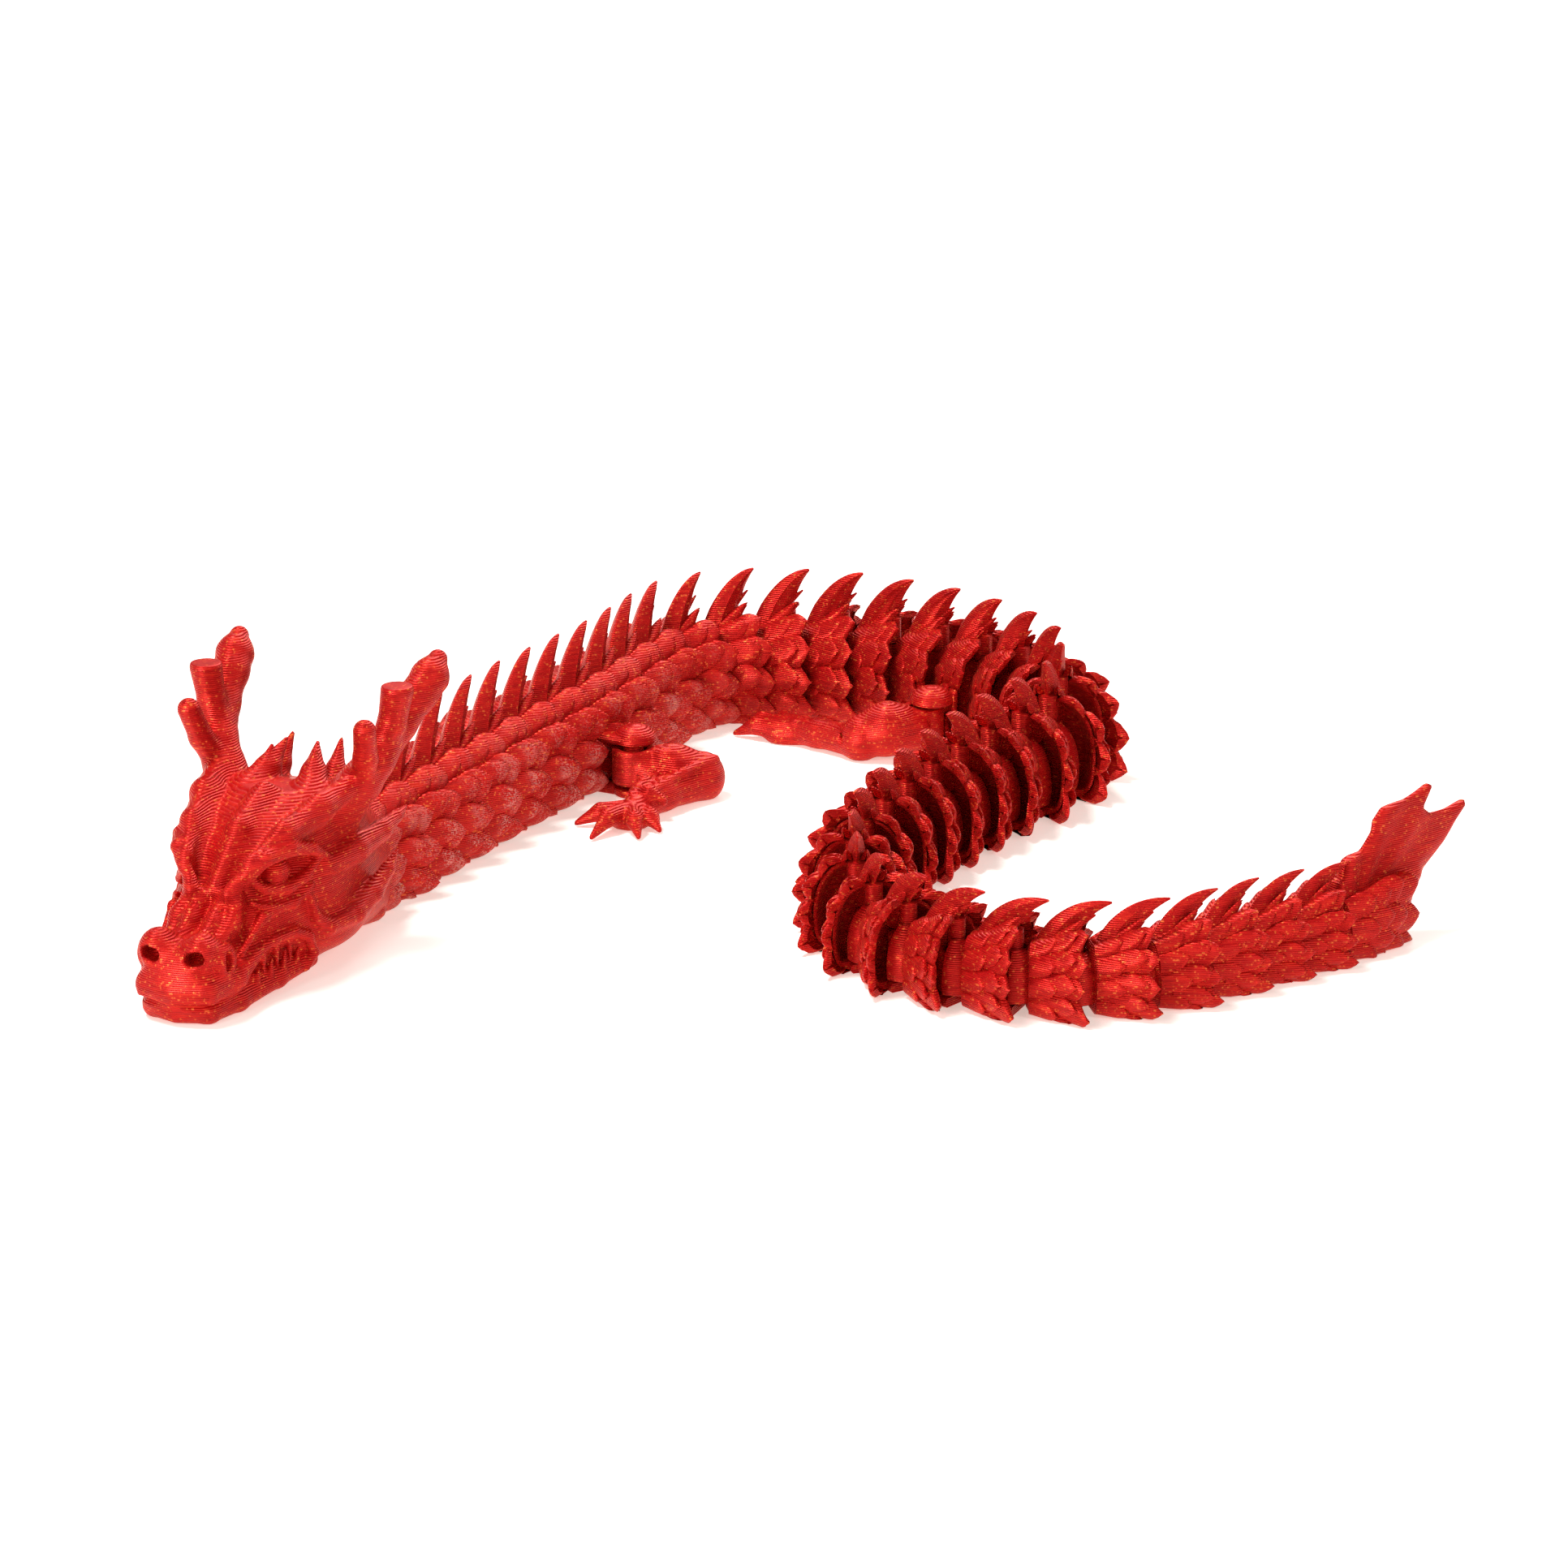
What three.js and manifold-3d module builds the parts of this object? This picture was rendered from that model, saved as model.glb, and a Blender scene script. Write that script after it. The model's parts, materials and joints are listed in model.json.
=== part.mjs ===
// Articulated desk dragon: a print-in-place toy made of one plastic.
// A head, forty-one body segments, a tail tuft and four legs, each turning on a vertical pin.
// Millimetres, +Z up. The toy lies in an S-curve on the plane z = 0, and the origin is
// the middle of its footprint.
//
// Every piece is drawn in its own frame: the origin is the hinge at its front (for the
// head, the hinge at its back), +x runs towards the tail, +y to the dragon's right,
// z = 0 is the printed underside.
import * as THREE from "three";
import { mergeVertices } from "three/addons/utils/BufferGeometryUtils.js";
import Module from "manifold-3d";

const wasm = await Module();
wasm.setup();

// ---------------------------------------------------------------- driving dimensions

const SEGMENT_COUNT = 41;
const PITCH = 6.0; // hinge to hinge
const TAIL_PITCH = 5.8; // the last few segments are a little shorter
const SHORT_SEGMENTS = 6;

const NECK_HALF_WIDTH = 6.0; // at the first segment's rear rim
const BODY_HALF_WIDTH = 6.3; // at the fattest segments
const TAIL_HALF_WIDTH = 3.85; // at the last segment
const NECK_GROWTH_END = 6; // segment where the neck has grown to full width
const TAIL_TAPER_START = 21; // segment where the tail begins to taper
const HEIGHT_TO_HALF_WIDTH = 2.04; // body height without spike, over half width

const NECK_TIP_HEIGHT = 17.5; // spike tips above the table
const WAIST_TIP_HEIGHT = 16.0; // where the tail begins to taper
const TAIL_TIP_HEIGHT = 9.6;
const SPIKE_LEAN = 2.3; // how far a tip leans back past its piece's rear hinge
const SPIKE_THICKNESS = 1.3;
const FAN_THICKNESS = 2.4; // the tail tuft's fan

const CLEARANCE = 0.35; // printed gap between pieces that turn on each other
const WALL = 0.9; // shell wall
const FLOOR_PLATE = 1.0; // plate under the pin that keeps the next piece in
const PIN_RATIO = 0.18; // pin radius over the half width of the piece that carries it
const RING_WALL_RATIO = 0.16;
const RING_RISE = 0.68; // height of a ring's top between the floor plate and the roof
const ROOF = 1.6; // thickness of a shell's roof
const LEG_PIN_RADIUS = 1.1;
const LEG_RING_WALL = 0.8;
const RIM_OVERLAP = 0.6; // how far a shell reaches past its rear pin
const SHELL_FRONT = 2.2; // where a shell starts behind its front hinge
const FRONT_WIDTH_RATIO = 0.69; // front width of a shell over its rim width
const FRONT_HEIGHT_RATIO = 0.86;
const ROUND_SIDES = 8;

const SHOULDER_SEGMENT = 8; // segments that carry the legs, counted from the head
const HIP_SEGMENT = 18;
const LEG_HINGE_X = 4.2;
const LEG_HINGE_Y = 8.2;
const LEG_RING_TOP = 5.2;
const LEG_PLATE = 1.0; // plates above and below a leg's ring, on an arm of the segment
const LEG_PLATE_HALF = 1.1;
const LEG_POST_INNER_Y = 3.0; // where that arm starts, inside the shell
const LEG_SWING_HALF = 3.2; // room that a leg leaves for the plates as it swings
const LEG_SWING_OUT = 1.75;

const RED = 0xc8161b;

// The rest pose: heading of the first segment, then how far each next piece turns,
// as runs of [joints, degrees per joint].
const HEAD_HEADING = 68;
const FIRST_HEADING = 63;
const TURNS = [
  [4, 0],
  [1, -2],
  [2, 0.5],
  [2, 3],
  [1, -3],
  [1, -18],
  [2, -20],
  [2, -13],
  [3, -10],
  [1, -13],
  [2, -20],
  [1, -18],
  [1, -5],
  [1, 2],
  [4, 3],
  [2, 11],
  [1, 15],
  [6, 17],
  [1, 10],
  [2, -1],
  [1, 6],
];

const LEG_TURN = { // degrees that each leg is swung from square-out at rest
  front_left_leg: 0,
  front_right_leg: 0,
  hind_left_leg: 0,
  hind_right_leg: 14,
};

// ---------------------------------------------------------------- solids

function solidOf(geometry) {
  const bare = geometry.clone();
  bare.deleteAttribute("normal");
  bare.deleteAttribute("uv");
  const merged = mergeVertices(bare, 1e-4);
  const index = merged.getIndex();
  const mesh = new wasm.Mesh({
    numProp: 3,
    vertProperties: new Float32Array(merged.getAttribute("position").array),
    triVerts: new Uint32Array(index.array),
  });
  return new wasm.Manifold(mesh);
}

function geometryOf(solid) {
  const mesh = solid.getMesh();
  const geometry = new THREE.BufferGeometry();
  geometry.setAttribute("position", new THREE.BufferAttribute(new Float32Array(mesh.vertProperties), 3));
  geometry.setIndex(new THREE.BufferAttribute(new Uint32Array(mesh.triVerts), 1));
  geometry.computeVertexNormals();
  return geometry;
}

function joined(solids) {
  return solids.reduce((sum, solid) => sum.add(solid));
}

// A closed loft through rings of points. Every ring has the same number of points and
// runs anticlockwise seen from its far end, so the faces point out.
function loft(rings) {
  const sides = rings[0].length;
  const positions = rings.flat().flatMap((point) => [point.x, point.y, point.z]);
  const triangles = [];
  for (let r = 0; r + 1 < rings.length; r += 1) {
    for (let s = 0; s < sides; s += 1) {
      const a = r * sides + s;
      const b = r * sides + ((s + 1) % sides);
      triangles.push(a, b, b + sides);
      triangles.push(a, b + sides, a + sides);
    }
  }
  const last = (rings.length - 1) * sides;
  for (let s = 1; s + 1 < sides; s += 1) {
    triangles.push(0, s + 1, s);
    triangles.push(last, last + s, last + s + 1);
  }
  const geometry = new THREE.BufferGeometry();
  geometry.setAttribute("position", new THREE.Float32BufferAttribute(positions, 3));
  geometry.setIndex(triangles);
  return solidOf(geometry);
}

function post(x, y, radius, bottom, top) {
  const geometry = new THREE.CylinderGeometry(radius, radius, top - bottom, ROUND_SIDES);
  geometry.rotateX(Math.PI / 2);
  geometry.translate(x, y, (bottom + top) / 2);
  return solidOf(geometry);
}

function block(minX, maxX, minY, maxY, minZ, maxZ) {
  const geometry = new THREE.BoxGeometry(maxX - minX, maxY - minY, maxZ - minZ);
  geometry.translate((minX + maxX) / 2, (minY + maxY) / 2, (minZ + maxZ) / 2);
  return solidOf(geometry);
}

// A blade standing in the middle plane: an outline of [x, z] points, given a thickness.
function blade(outline, thickness) {
  const shape = new THREE.Shape(outline.map(([x, z]) => new THREE.Vector2(x, z)));
  const geometry = new THREE.ExtrudeGeometry(shape, { depth: thickness, bevelEnabled: false });
  geometry.rotateX(Math.PI / 2);
  geometry.translate(0, thickness / 2, 0);
  return solidOf(geometry);
}

// A round horn or limb: tapers along a chain of [x, y, z, radius] stations.
function horn(stations, sides = 7) {
  const centres = stations.map(([x, y, z]) => new THREE.Vector3(x, y, z));
  const rings = stations.map(([, , , radius], i) => {
    const before = centres[Math.max(i - 1, 0)];
    const after = centres[Math.min(i + 1, centres.length - 1)];
    const along = after.clone().sub(before).normalize();
    const side = new THREE.Vector3(0, 1, 0).cross(along).normalize();
    const up = along.clone().cross(side);
    return Array.from({ length: sides }, (_, s) => {
      const angle = (2 * Math.PI * s) / sides;
      const out = side.clone().multiplyScalar(radius * Math.cos(angle));
      out.addScaledVector(up, radius * Math.sin(angle));
      return centres[i].clone().add(out);
    });
  });
  return loft(rings);
}

// The body's cross-section: flat underside, full flanks, arched back.
function section(x, halfWidth, height, bottom = 0) {
  const half = [
    [0.55, 0],
    [0.96, 0.2],
    [1, 0.45],
    [0.74, 0.84],
  ];
  const rise = height - bottom;
  const right = half.map(([w, h]) => new THREE.Vector3(x, w * halfWidth, bottom + h * rise));
  const left = half.map(([w, h]) => new THREE.Vector3(x, -w * halfWidth, bottom + h * rise));
  return [...right, new THREE.Vector3(x, 0, height), ...left.reverse()];
}

// ---------------------------------------------------------------- sizes along the body

function ease(t) {
  const u = Math.min(Math.max(t, 0), 1);
  return u * u * (3 - 2 * u);
}

function mix(a, b, t) {
  return a + (b - a) * t;
}

function halfWidthAt(n) {
  const neck = mix(NECK_HALF_WIDTH, BODY_HALF_WIDTH, ease(n / NECK_GROWTH_END));
  const taper = (n - TAIL_TAPER_START) / (SEGMENT_COUNT - TAIL_TAPER_START);
  return mix(neck, TAIL_HALF_WIDTH, Math.max(taper, 0));
}

function tipHeightAt(n) {
  if (n < TAIL_TAPER_START) {
    return mix(NECK_TIP_HEIGHT, WAIST_TIP_HEIGHT, ease(n / TAIL_TAPER_START));
  }
  const taper = (n - TAIL_TAPER_START) / (SEGMENT_COUNT - TAIL_TAPER_START);
  return mix(WAIST_TIP_HEIGHT, TAIL_TIP_HEIGHT, taper);
}

function pitchAt(n) {
  return n > SEGMENT_COUNT - SHORT_SEGMENTS ? TAIL_PITCH : PITCH;
}

function heightAt(n) {
  return HEIGHT_TO_HALF_WIDTH * halfWidthAt(n);
}

// ---------------------------------------------------------------- joint parts

// Radii of the pin at the back of piece n, and of the bore and ring that turn on it.
function jointRadii(n) {
  const pin = PIN_RATIO * halfWidthAt(n);
  const bore = pin + CLEARANCE;
  return { pin, bore, ring: bore + RING_WALL_RATIO * halfWidthAt(n) };
}

function roofAt(n) {
  return heightAt(n) - ROOF;
}

// The cup at a shell's rear and its pin. The plate under the cavity holds the ring in.
function rearCup(n, hingeX) {
  const { pin, ring } = jointRadii(n);
  const inner = halfWidthAt(n) - WALL;
  const roof = roofAt(n);
  const cavity = loft([
    section(hingeX - ring - CLEARANCE, inner * 0.8, roof * 0.95, FLOOR_PLATE),
    section(hingeX + RIM_OVERLAP + 1, inner + 0.2, roof + 0.1, FLOOR_PLATE),
  ]);
  return { cavity, pin: post(hingeX, 0, pin, FLOOR_PLATE / 2, roof + ROOF / 2) };
}

// The ring at the front of piece n, which turns on the pin of the piece ahead of it.
function frontRing(n) {
  const { bore, ring } = jointRadii(n - 1);
  const bottom = FLOOR_PLATE + CLEARANCE;
  const top = mix(FLOOR_PLATE, roofAt(n - 1), RING_RISE) - CLEARANCE;
  const neck = block(bore, SHELL_FRONT + 0.4, -ring * 0.8, ring * 0.8, bottom, top);
  return post(0, 0, ring, bottom, top).add(neck).subtract(post(0, 0, bore, bottom - 1, top + 1));
}

function spike(pitch, height, tipHeight) {
  const rise = tipHeight - height;
  return blade([
    [SHELL_FRONT + 0.1, height * 0.72],
    [SHELL_FRONT + 0.5, height * 0.95],
    [pitch - 0.6, height + rise * 0.6],
    [pitch + SPIKE_LEAN, tipHeight],
    [pitch + 0.5, height + rise * 0.35],
    [pitch - 0.2, height - 0.3],
  ].reverse(), SPIKE_THICKNESS);
}

// ---------------------------------------------------------------- body segments

function shellAndCup(n) {
  const pitch = pitchAt(n);
  const halfWidth = halfWidthAt(n);
  const height = heightAt(n);
  const outer = loft([
    section(SHELL_FRONT, halfWidth * FRONT_WIDTH_RATIO, height * FRONT_HEIGHT_RATIO),
    section(pitch + RIM_OVERLAP, halfWidth, height),
  ]);
  const cup = rearCup(n, pitch);
  return outer.add(spike(pitch, height, tipHeightAt(n))).subtract(cup.cavity).add(cup.pin);
}

function legPost(side) {
  const y = side * LEG_HINGE_Y;
  const inner = side * LEG_POST_INNER_Y;
  const outer = side * (LEG_HINGE_Y + LEG_PLATE_HALF);
  const minX = LEG_HINGE_X - LEG_PLATE_HALF;
  const maxX = LEG_HINGE_X + LEG_PLATE_HALF;
  const nearY = Math.min(inner, outer);
  const farY = Math.max(inner, outer);
  const top = LEG_RING_TOP + CLEARANCE;
  return joined([
    block(minX, maxX, nearY, farY, 0, LEG_PLATE),
    block(minX, maxX, nearY, farY, top, top + LEG_PLATE),
    post(LEG_HINGE_X, y, LEG_PIN_RADIUS, LEG_PLATE / 2, top + LEG_PLATE / 2),
  ]);
}

function bodySegment(n) {
  const solid = shellAndCup(n).add(frontRing(n));
  if (n !== SHOULDER_SEGMENT && n !== HIP_SEGMENT) {
    return solid;
  }
  const cup = rearCup(n, pitchAt(n));
  return solid.add(legPost(1).add(legPost(-1)).subtract(cup.cavity)).add(cup.pin);
}

// ---------------------------------------------------------------- tail tuft

function tailTuft() {
  const halfWidth = TAIL_HALF_WIDTH;
  const height = heightAt(SEGMENT_COUNT);
  const body = loft([
    section(SHELL_FRONT, halfWidth * FRONT_WIDTH_RATIO, height * FRONT_HEIGHT_RATIO),
    section(5.5, halfWidth * 0.9, height),
    section(9.5, halfWidth * 0.62, height * 1.02, 0.8),
    section(12.5, halfWidth * 0.3, height * 1.1, 3.4),
  ]);
  const fan = blade([
    [2.6, 3],
    [2.8, 8.4],
    [3.6, 10.2],
    [6.8, 12.2],
    [8.2, 14.4],
    [14.2, 16],
    [15.6, 15.4],
    [15.5, 13],
    [20.2, 13],
    [20.6, 11.8],
    [17.5, 8.6],
    [10.6, 2.8],
  ].reverse(), FAN_THICKNESS);
  return body.add(fan).add(frontRing(SEGMENT_COUNT + 1));
}

// ---------------------------------------------------------------- head

function antler(side) {
  return joined([
    horn([
      [-11.4, side * 4.8, 13, 2.8],
      [-9.2, side * 8.6, 19, 1.9],
      [-5.8, side * 9.7, 22.2, 1.6],
      [-1.8, side * 10.6, 25.4, 1.9],
      [0.3, side * 11, 27.8, 1.0],
    ]),
    horn([
      [-8.6, side * 8.7, 19.8, 1.6],
      [-8, side * 9.9, 23, 1.4],
      [-7.9, side * 10.5, 26.6, 1.6],
    ]),
    horn([
      [-10.4, side * 7.6, 17, 1.6],
      [-12.4, side * 9.2, 20.6, 1.2],
      [-14.2, side * 9.9, 24, 1.1],
    ]),
  ]);
}

function cheekFins(side) {
  return joined([
    horn([
      [-12, side * 6.2, 8.5, 2.6],
      [-6.5, side * 8.2, 11.2, 1.9],
      [-2.6, side * 8.9, 13.6, 0.6],
    ]),
    horn([
      [-12, side * 6.2, 5.5, 2.4],
      [-7.6, side * 7.9, 6.6, 1.7],
      [-4.6, side * 8.5, 8.8, 0.6],
    ]),
  ]);
}

function crownSpike(x, y, top, lean) {
  return horn([
    [x, y, 14, 2.0],
    [x + lean * 0.5, y, 17.2, 1.3],
    [x + lean, y, top, 0.4],
  ]);
}

function head() {
  const rear = halfWidthAt(0);
  const skull = loft([
    section(-36, 2.8, 6.6, 1.1),
    section(-34.5, 3.9, 8, 0.2),
    section(-31, 4.3, 7.6),
    section(-27, 5, 10.8),
    section(-23.5, 6, 14.8),
    section(-18, 7.3, 17),
    section(-12, 8, 17.6),
    section(-7, 7.4, 16.2),
    section(-3, 6.5, 13.8),
    section(RIM_OVERLAP, rear, heightAt(0)),
  ]);
  const cup = rearCup(0, 0);
  const trim = [1, -1].flatMap((side) => [
    antler(side),
    cheekFins(side),
    crownSpike(-11, side * 2.2, 20.6, 3),
    crownSpike(-7.5, side * 2.7, 19.6, 2.8),
  ]);
  return joined([skull, ...trim]).subtract(cup.cavity).add(cup.pin);
}

// ---------------------------------------------------------------- legs

// A leg in its own frame: the origin is its hinge, +y points away from the body and
// +x towards the tail. mirror = -1 makes the one for the other side.
function limb(stations) {
  return loft(stations.map(([x, y, halfAcross, height, turn]) => {
    const across = new THREE.Vector3(Math.sin(turn), -Math.cos(turn), 0);
    const outline = [
      [-1, 0],
      [-0.85, 0.75],
      [-0.3, 1],
      [0.3, 1],
      [0.85, 0.75],
      [1, 0],
    ];
    return outline.map(([w, h]) => new THREE.Vector3(
      x + across.x * w * halfAcross,
      y + across.y * w * halfAcross,
      h * height,
    ));
  }));
}

function claw(fromX, fromY, toX, toY) {
  const angle = Math.atan2(toY - fromY, toX - fromX);
  return limb([
    [fromX, fromY, 1.2, 2.6, angle],
    [mix(fromX, toX, 0.6), mix(fromY, toY, 0.6), 0.9, 1.9, angle],
    [toX, toY, 0.25, 0.5, angle],
  ]);
}

function legFrom(armStations, claws) {
  const bottom = LEG_PLATE + CLEARANCE;
  const boreRadius = LEG_PIN_RADIUS + CLEARANCE;
  const ringRadius = boreRadius + LEG_RING_WALL;
  const top = LEG_RING_TOP + 2 * LEG_PLATE;
  const ring = post(0, 0, ringRadius, bottom, LEG_RING_TOP);
  const bore = post(0, 0, boreRadius, -1, top);
  const swing = block(-LEG_SWING_HALF, LEG_SWING_HALF, -LEG_SWING_HALF, LEG_SWING_OUT, -1, top);
  const keepOut = swing.subtract(post(0, 0, ringRadius + 0.15, bottom, LEG_RING_TOP));
  const arm = limb(armStations);
  const paw = claws.map(([a, b, c, d]) => claw(a, b, c, d));
  return joined([arm.subtract(keepOut), ...paw, ring]).subtract(bore);
}

function frontLeg() {
  const degrees = Math.PI / 180;
  return legFrom(
    [
      [0.4, 1.0, 1.9, LEG_RING_TOP, 70 * degrees],
      [2.0, 5.2, 2.3, 5.6, 75 * degrees],
      [2.3, 6.9, 2.7, 5.0, 130 * degrees],
      [-3.7, 5.2, 1.9, 4.2, 187 * degrees],
      [-9.6, 4.6, 2.2, 3.2, 187 * degrees],
      [-12, 4.3, 1.8, 2.6, 187 * degrees],
    ],
    [
      [-10.6, 3.2, -12.6, -0.4],
      [-11.2, 4.2, -16, 3.2],
      [-11.2, 5.2, -13.8, 7.6],
      [-9.8, 5.6, -10.8, 8.6],
    ],
  );
}

function hindLeg() {
  const degrees = Math.PI / 180;
  return legFrom(
    [
      [0, 1.0, 1.9, LEG_RING_TOP, 100 * degrees],
      [-1.6, 4.2, 2.4, 5.8, 120 * degrees],
      [-4.2, 6.3, 2.3, 4.6, 155 * degrees],
      [-9.5, 6.2, 1.9, 3.6, 180 * degrees],
      [-13.5, 6.1, 2.2, 3.2, 180 * degrees],
      [-15.6, 6.1, 1.9, 2.6, 180 * degrees],
    ],
    [
      [-14.6, 5, -17.8, 2.8],
      [-15, 6, -20, 5.6],
      [-14.4, 7, -19.2, 8.2],
    ],
  );
}

function mirrored(solid) {
  const mesh = solid.getMesh();
  const positions = new Float32Array(mesh.vertProperties);
  for (let i = 1; i < positions.length; i += 3) {
    positions[i] = -positions[i];
  }
  const triangles = new Uint32Array(mesh.triVerts);
  for (let i = 0; i < triangles.length; i += 3) {
    const second = triangles[i + 1];
    triangles[i + 1] = triangles[i + 2];
    triangles[i + 2] = second;
  }
  return new wasm.Manifold(new wasm.Mesh({ numProp: 3, vertProperties: positions, triVerts: triangles }));
}

// ---------------------------------------------------------------- assembly

const material = new THREE.MeshStandardMaterial({ color: RED, roughness: 0.38, metalness: 0.1 });

function named(name, solid) {
  const mesh = new THREE.Mesh(geometryOf(solid), material.clone());
  mesh.name = name;
  return mesh;
}

function twoDigits(n) {
  return String(n).padStart(2, "0");
}

const toy = new THREE.Group();
const radians = THREE.MathUtils.degToRad;

const headMesh = named("head", head());
headMesh.rotation.z = radians(HEAD_HEADING);
toy.add(headMesh);

const turns = TURNS.flatMap(([joints, degrees]) => Array(joints).fill(degrees));
const hinge = new THREE.Vector2(0, 0);
let heading = FIRST_HEADING;
for (let n = 1; n <= SEGMENT_COUNT; n += 1) {
  const frame = new THREE.Group();
  frame.position.set(hinge.x, hinge.y, 0);
  frame.rotation.z = radians(heading);
  frame.add(named(`body_segment_${twoDigits(n)}`, bodySegment(n)));
  if (n === SHOULDER_SEGMENT || n === HIP_SEGMENT) {
    const [place, build] = n === SHOULDER_SEGMENT ? ["front", frontLeg] : ["hind", hindLeg];
    const solid = build();
    for (const [sideName, side] of [["right", 1], ["left", -1]]) {
      const name = `${place}_${sideName}_leg`;
      const leg = named(name, side === 1 ? solid : mirrored(solid));
      leg.position.set(LEG_HINGE_X, side * LEG_HINGE_Y, 0);
      leg.rotation.z = side * radians(LEG_TURN[name]);
      frame.add(leg);
    }
  }
  toy.add(frame);
  hinge.x += pitchAt(n) * Math.cos(radians(heading));
  hinge.y += pitchAt(n) * Math.sin(radians(heading));
  heading += turns[n - 1];
}

const tuft = named("tail_tuft", tailTuft());
tuft.position.set(hinge.x, hinge.y, 0);
tuft.rotation.z = radians(heading);
toy.add(tuft);

// Put the origin under the middle of the toy.
toy.updateMatrixWorld(true);
const box = new THREE.Box3().setFromObject(toy, true);
toy.position.set(-(box.min.x + box.max.x) / 2, -(box.min.y + box.max.y) / 2, -box.min.z);

const group = new THREE.Group();
group.add(toy);
export default group;
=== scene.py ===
import json
import math

import bpy
import numpy as np
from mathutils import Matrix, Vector


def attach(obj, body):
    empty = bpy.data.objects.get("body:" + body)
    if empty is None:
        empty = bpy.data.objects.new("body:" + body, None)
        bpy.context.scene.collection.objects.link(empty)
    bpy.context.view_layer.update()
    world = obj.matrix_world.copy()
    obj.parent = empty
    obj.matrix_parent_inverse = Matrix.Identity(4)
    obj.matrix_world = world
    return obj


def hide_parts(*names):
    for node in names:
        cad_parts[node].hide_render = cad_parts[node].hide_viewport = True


# An articulated printed dragon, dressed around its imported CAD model. Shapes are made in
# millimetres in each piece's own frame: the origin is its front hinge (the head's is at its
# back, a leg has its own), +x runs towards the tail, +y to the dragon's right, z = 0 is the table.
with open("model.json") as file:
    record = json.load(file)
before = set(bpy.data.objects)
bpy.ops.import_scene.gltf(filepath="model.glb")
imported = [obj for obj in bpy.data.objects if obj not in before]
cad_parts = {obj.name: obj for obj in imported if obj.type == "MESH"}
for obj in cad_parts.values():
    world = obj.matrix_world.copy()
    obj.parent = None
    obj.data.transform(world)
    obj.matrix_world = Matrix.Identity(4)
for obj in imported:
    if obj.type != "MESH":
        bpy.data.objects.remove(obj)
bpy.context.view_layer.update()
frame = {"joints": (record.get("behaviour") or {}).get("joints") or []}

MM = 0.001
RNG = np.random.default_rng(7)

# ------------ driving dimensions

SEGMENTS = 41
NECK_HALF_WIDTH = 6.0
BODY_HALF_WIDTH = 6.3
TAIL_HALF_WIDTH = 3.85
NECK_GROWTH_END = 6
TAIL_TAPER_START = 21
HEIGHT_RATIO = 2.04  # body height over half width
NECK_TIP_HEIGHT = 17.5
WAIST_TIP_HEIGHT = 16.0
TAIL_TIP_HEIGHT = 9.6
SPIKE_LEAN = 2.6  # how far a body spike's tip lies behind its segment's rear hinge
PITCH = 6.0  # from hinge to hinge
SHELL_FRONT_RATIO = 0.26  # where a shell starts behind its hinge, over half width
SHELL_FRONT_WIDTH = 0.59  # a shell's half width at its front, over the segment's
SHELL_FRONT_HEIGHT = 0.79  # a shell's height at its front, over the segment's
SHELL_WIDTH_GROWTH = 0.30  # how much the half width's ratio grows towards the rim
SHELL_HEIGHT_GROWTH = 0.13  # how much the height's does
SHELL_BELLY = 0.30  # how much a shell bulges between its front and its rim
RIM_OVERLAP = 0.6
RIM_ROOT = 4.2  # where the last row of scales starts
THROAT_WIDTH = 0.59  # a throat's half width, over the segment's
THROAT_HEIGHT = 0.71  # a throat's height, over the segment's
THROAT_SWEEP = 100.0  # degrees each way that a throat reaches round its hinge
FLOOR_PLATE = 1.0
CLEARANCE = 0.35
PIN_RATIO = 0.18
RING_WALL_RATIO = 0.16
RING_RISE = 0.68
ROOF = 1.6
SHOULDER_SEGMENT = 8
HIP_SEGMENT = 18
LEG_HINGE_Y = 8.2
LEG_HINGE_X = 4.2
LEG_RING_TOP = 5.2
LEG_PLATE = 1.0
LEG_PIN_RADIUS = 1.1
LEG_CAP = 2.4  # radius of the dome over a leg's hinge
LEG_DOME_RISE = 1.6
LEG_REACH = 6  # how many segments in front of a leg's own have flatter scales
LEG_SPLAY = 0.05  # how far a leg moves outwards, over the distance ahead of where that starts
LEG_SPLAY_START = 3  # ahead of the leg's hinge
HEAD_TURN = 5.0  # degrees between the head and the first segment at rest
TAIL_TURN = 6.0  # degrees between the last segment and the tail tuft at rest
HIND_RIGHT_TURN = 14.0  # degrees that the hind right leg is turned at rest

CLAY_STEP = 0.21  # grid of the sculpted pieces
SCALE_MESH_ROWS = 10  # mesh rows along one scale
SCALE_MESH_COLUMNS = 9  # mesh columns across it

# camera and light
FLOOR_GLOW = 0.48
LIGHTS = [  # name, place, size, watts, colour; each is aimed at the origin
    ("key", (-0.30, -0.05, 0.80), 0.26, 7.5, (1, 0.97, 0.93)),
    ("fill", (0.50, -0.50, 0.45), 0.35, 1.4, (1, 0.98, 0.96)),
    ("front", (-0.45, -0.65, 0.38), 0.35, 1.8, (1, 0.98, 0.96)),
    ("back", (0.1, 0.75, 0.6), 0.5, 3.0, (1, 0.98, 0.96)),
]
CAMERA_PITCH = 18.0
CAMERA_DISTANCE = 0.620
CAMERA_LENS = 136.3
CAMERA_AIM = (0.0447, 0.0220, 0.006)  # from the head's hinge


def mix(a, b, t):
    return a + (b - a) * t


def ease(t):
    u = np.clip(t, 0, 1)
    return u * u * (3 - 2 * u)


def half_width_at(n):
    """Half the width of segment n, or of the head's rear at n = 0."""
    neck = mix(NECK_HALF_WIDTH, BODY_HALF_WIDTH, ease(n / NECK_GROWTH_END))
    taper = (n - TAIL_TAPER_START) / (SEGMENTS - TAIL_TAPER_START)
    return mix(neck, TAIL_HALF_WIDTH, max(taper, 0))


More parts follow.
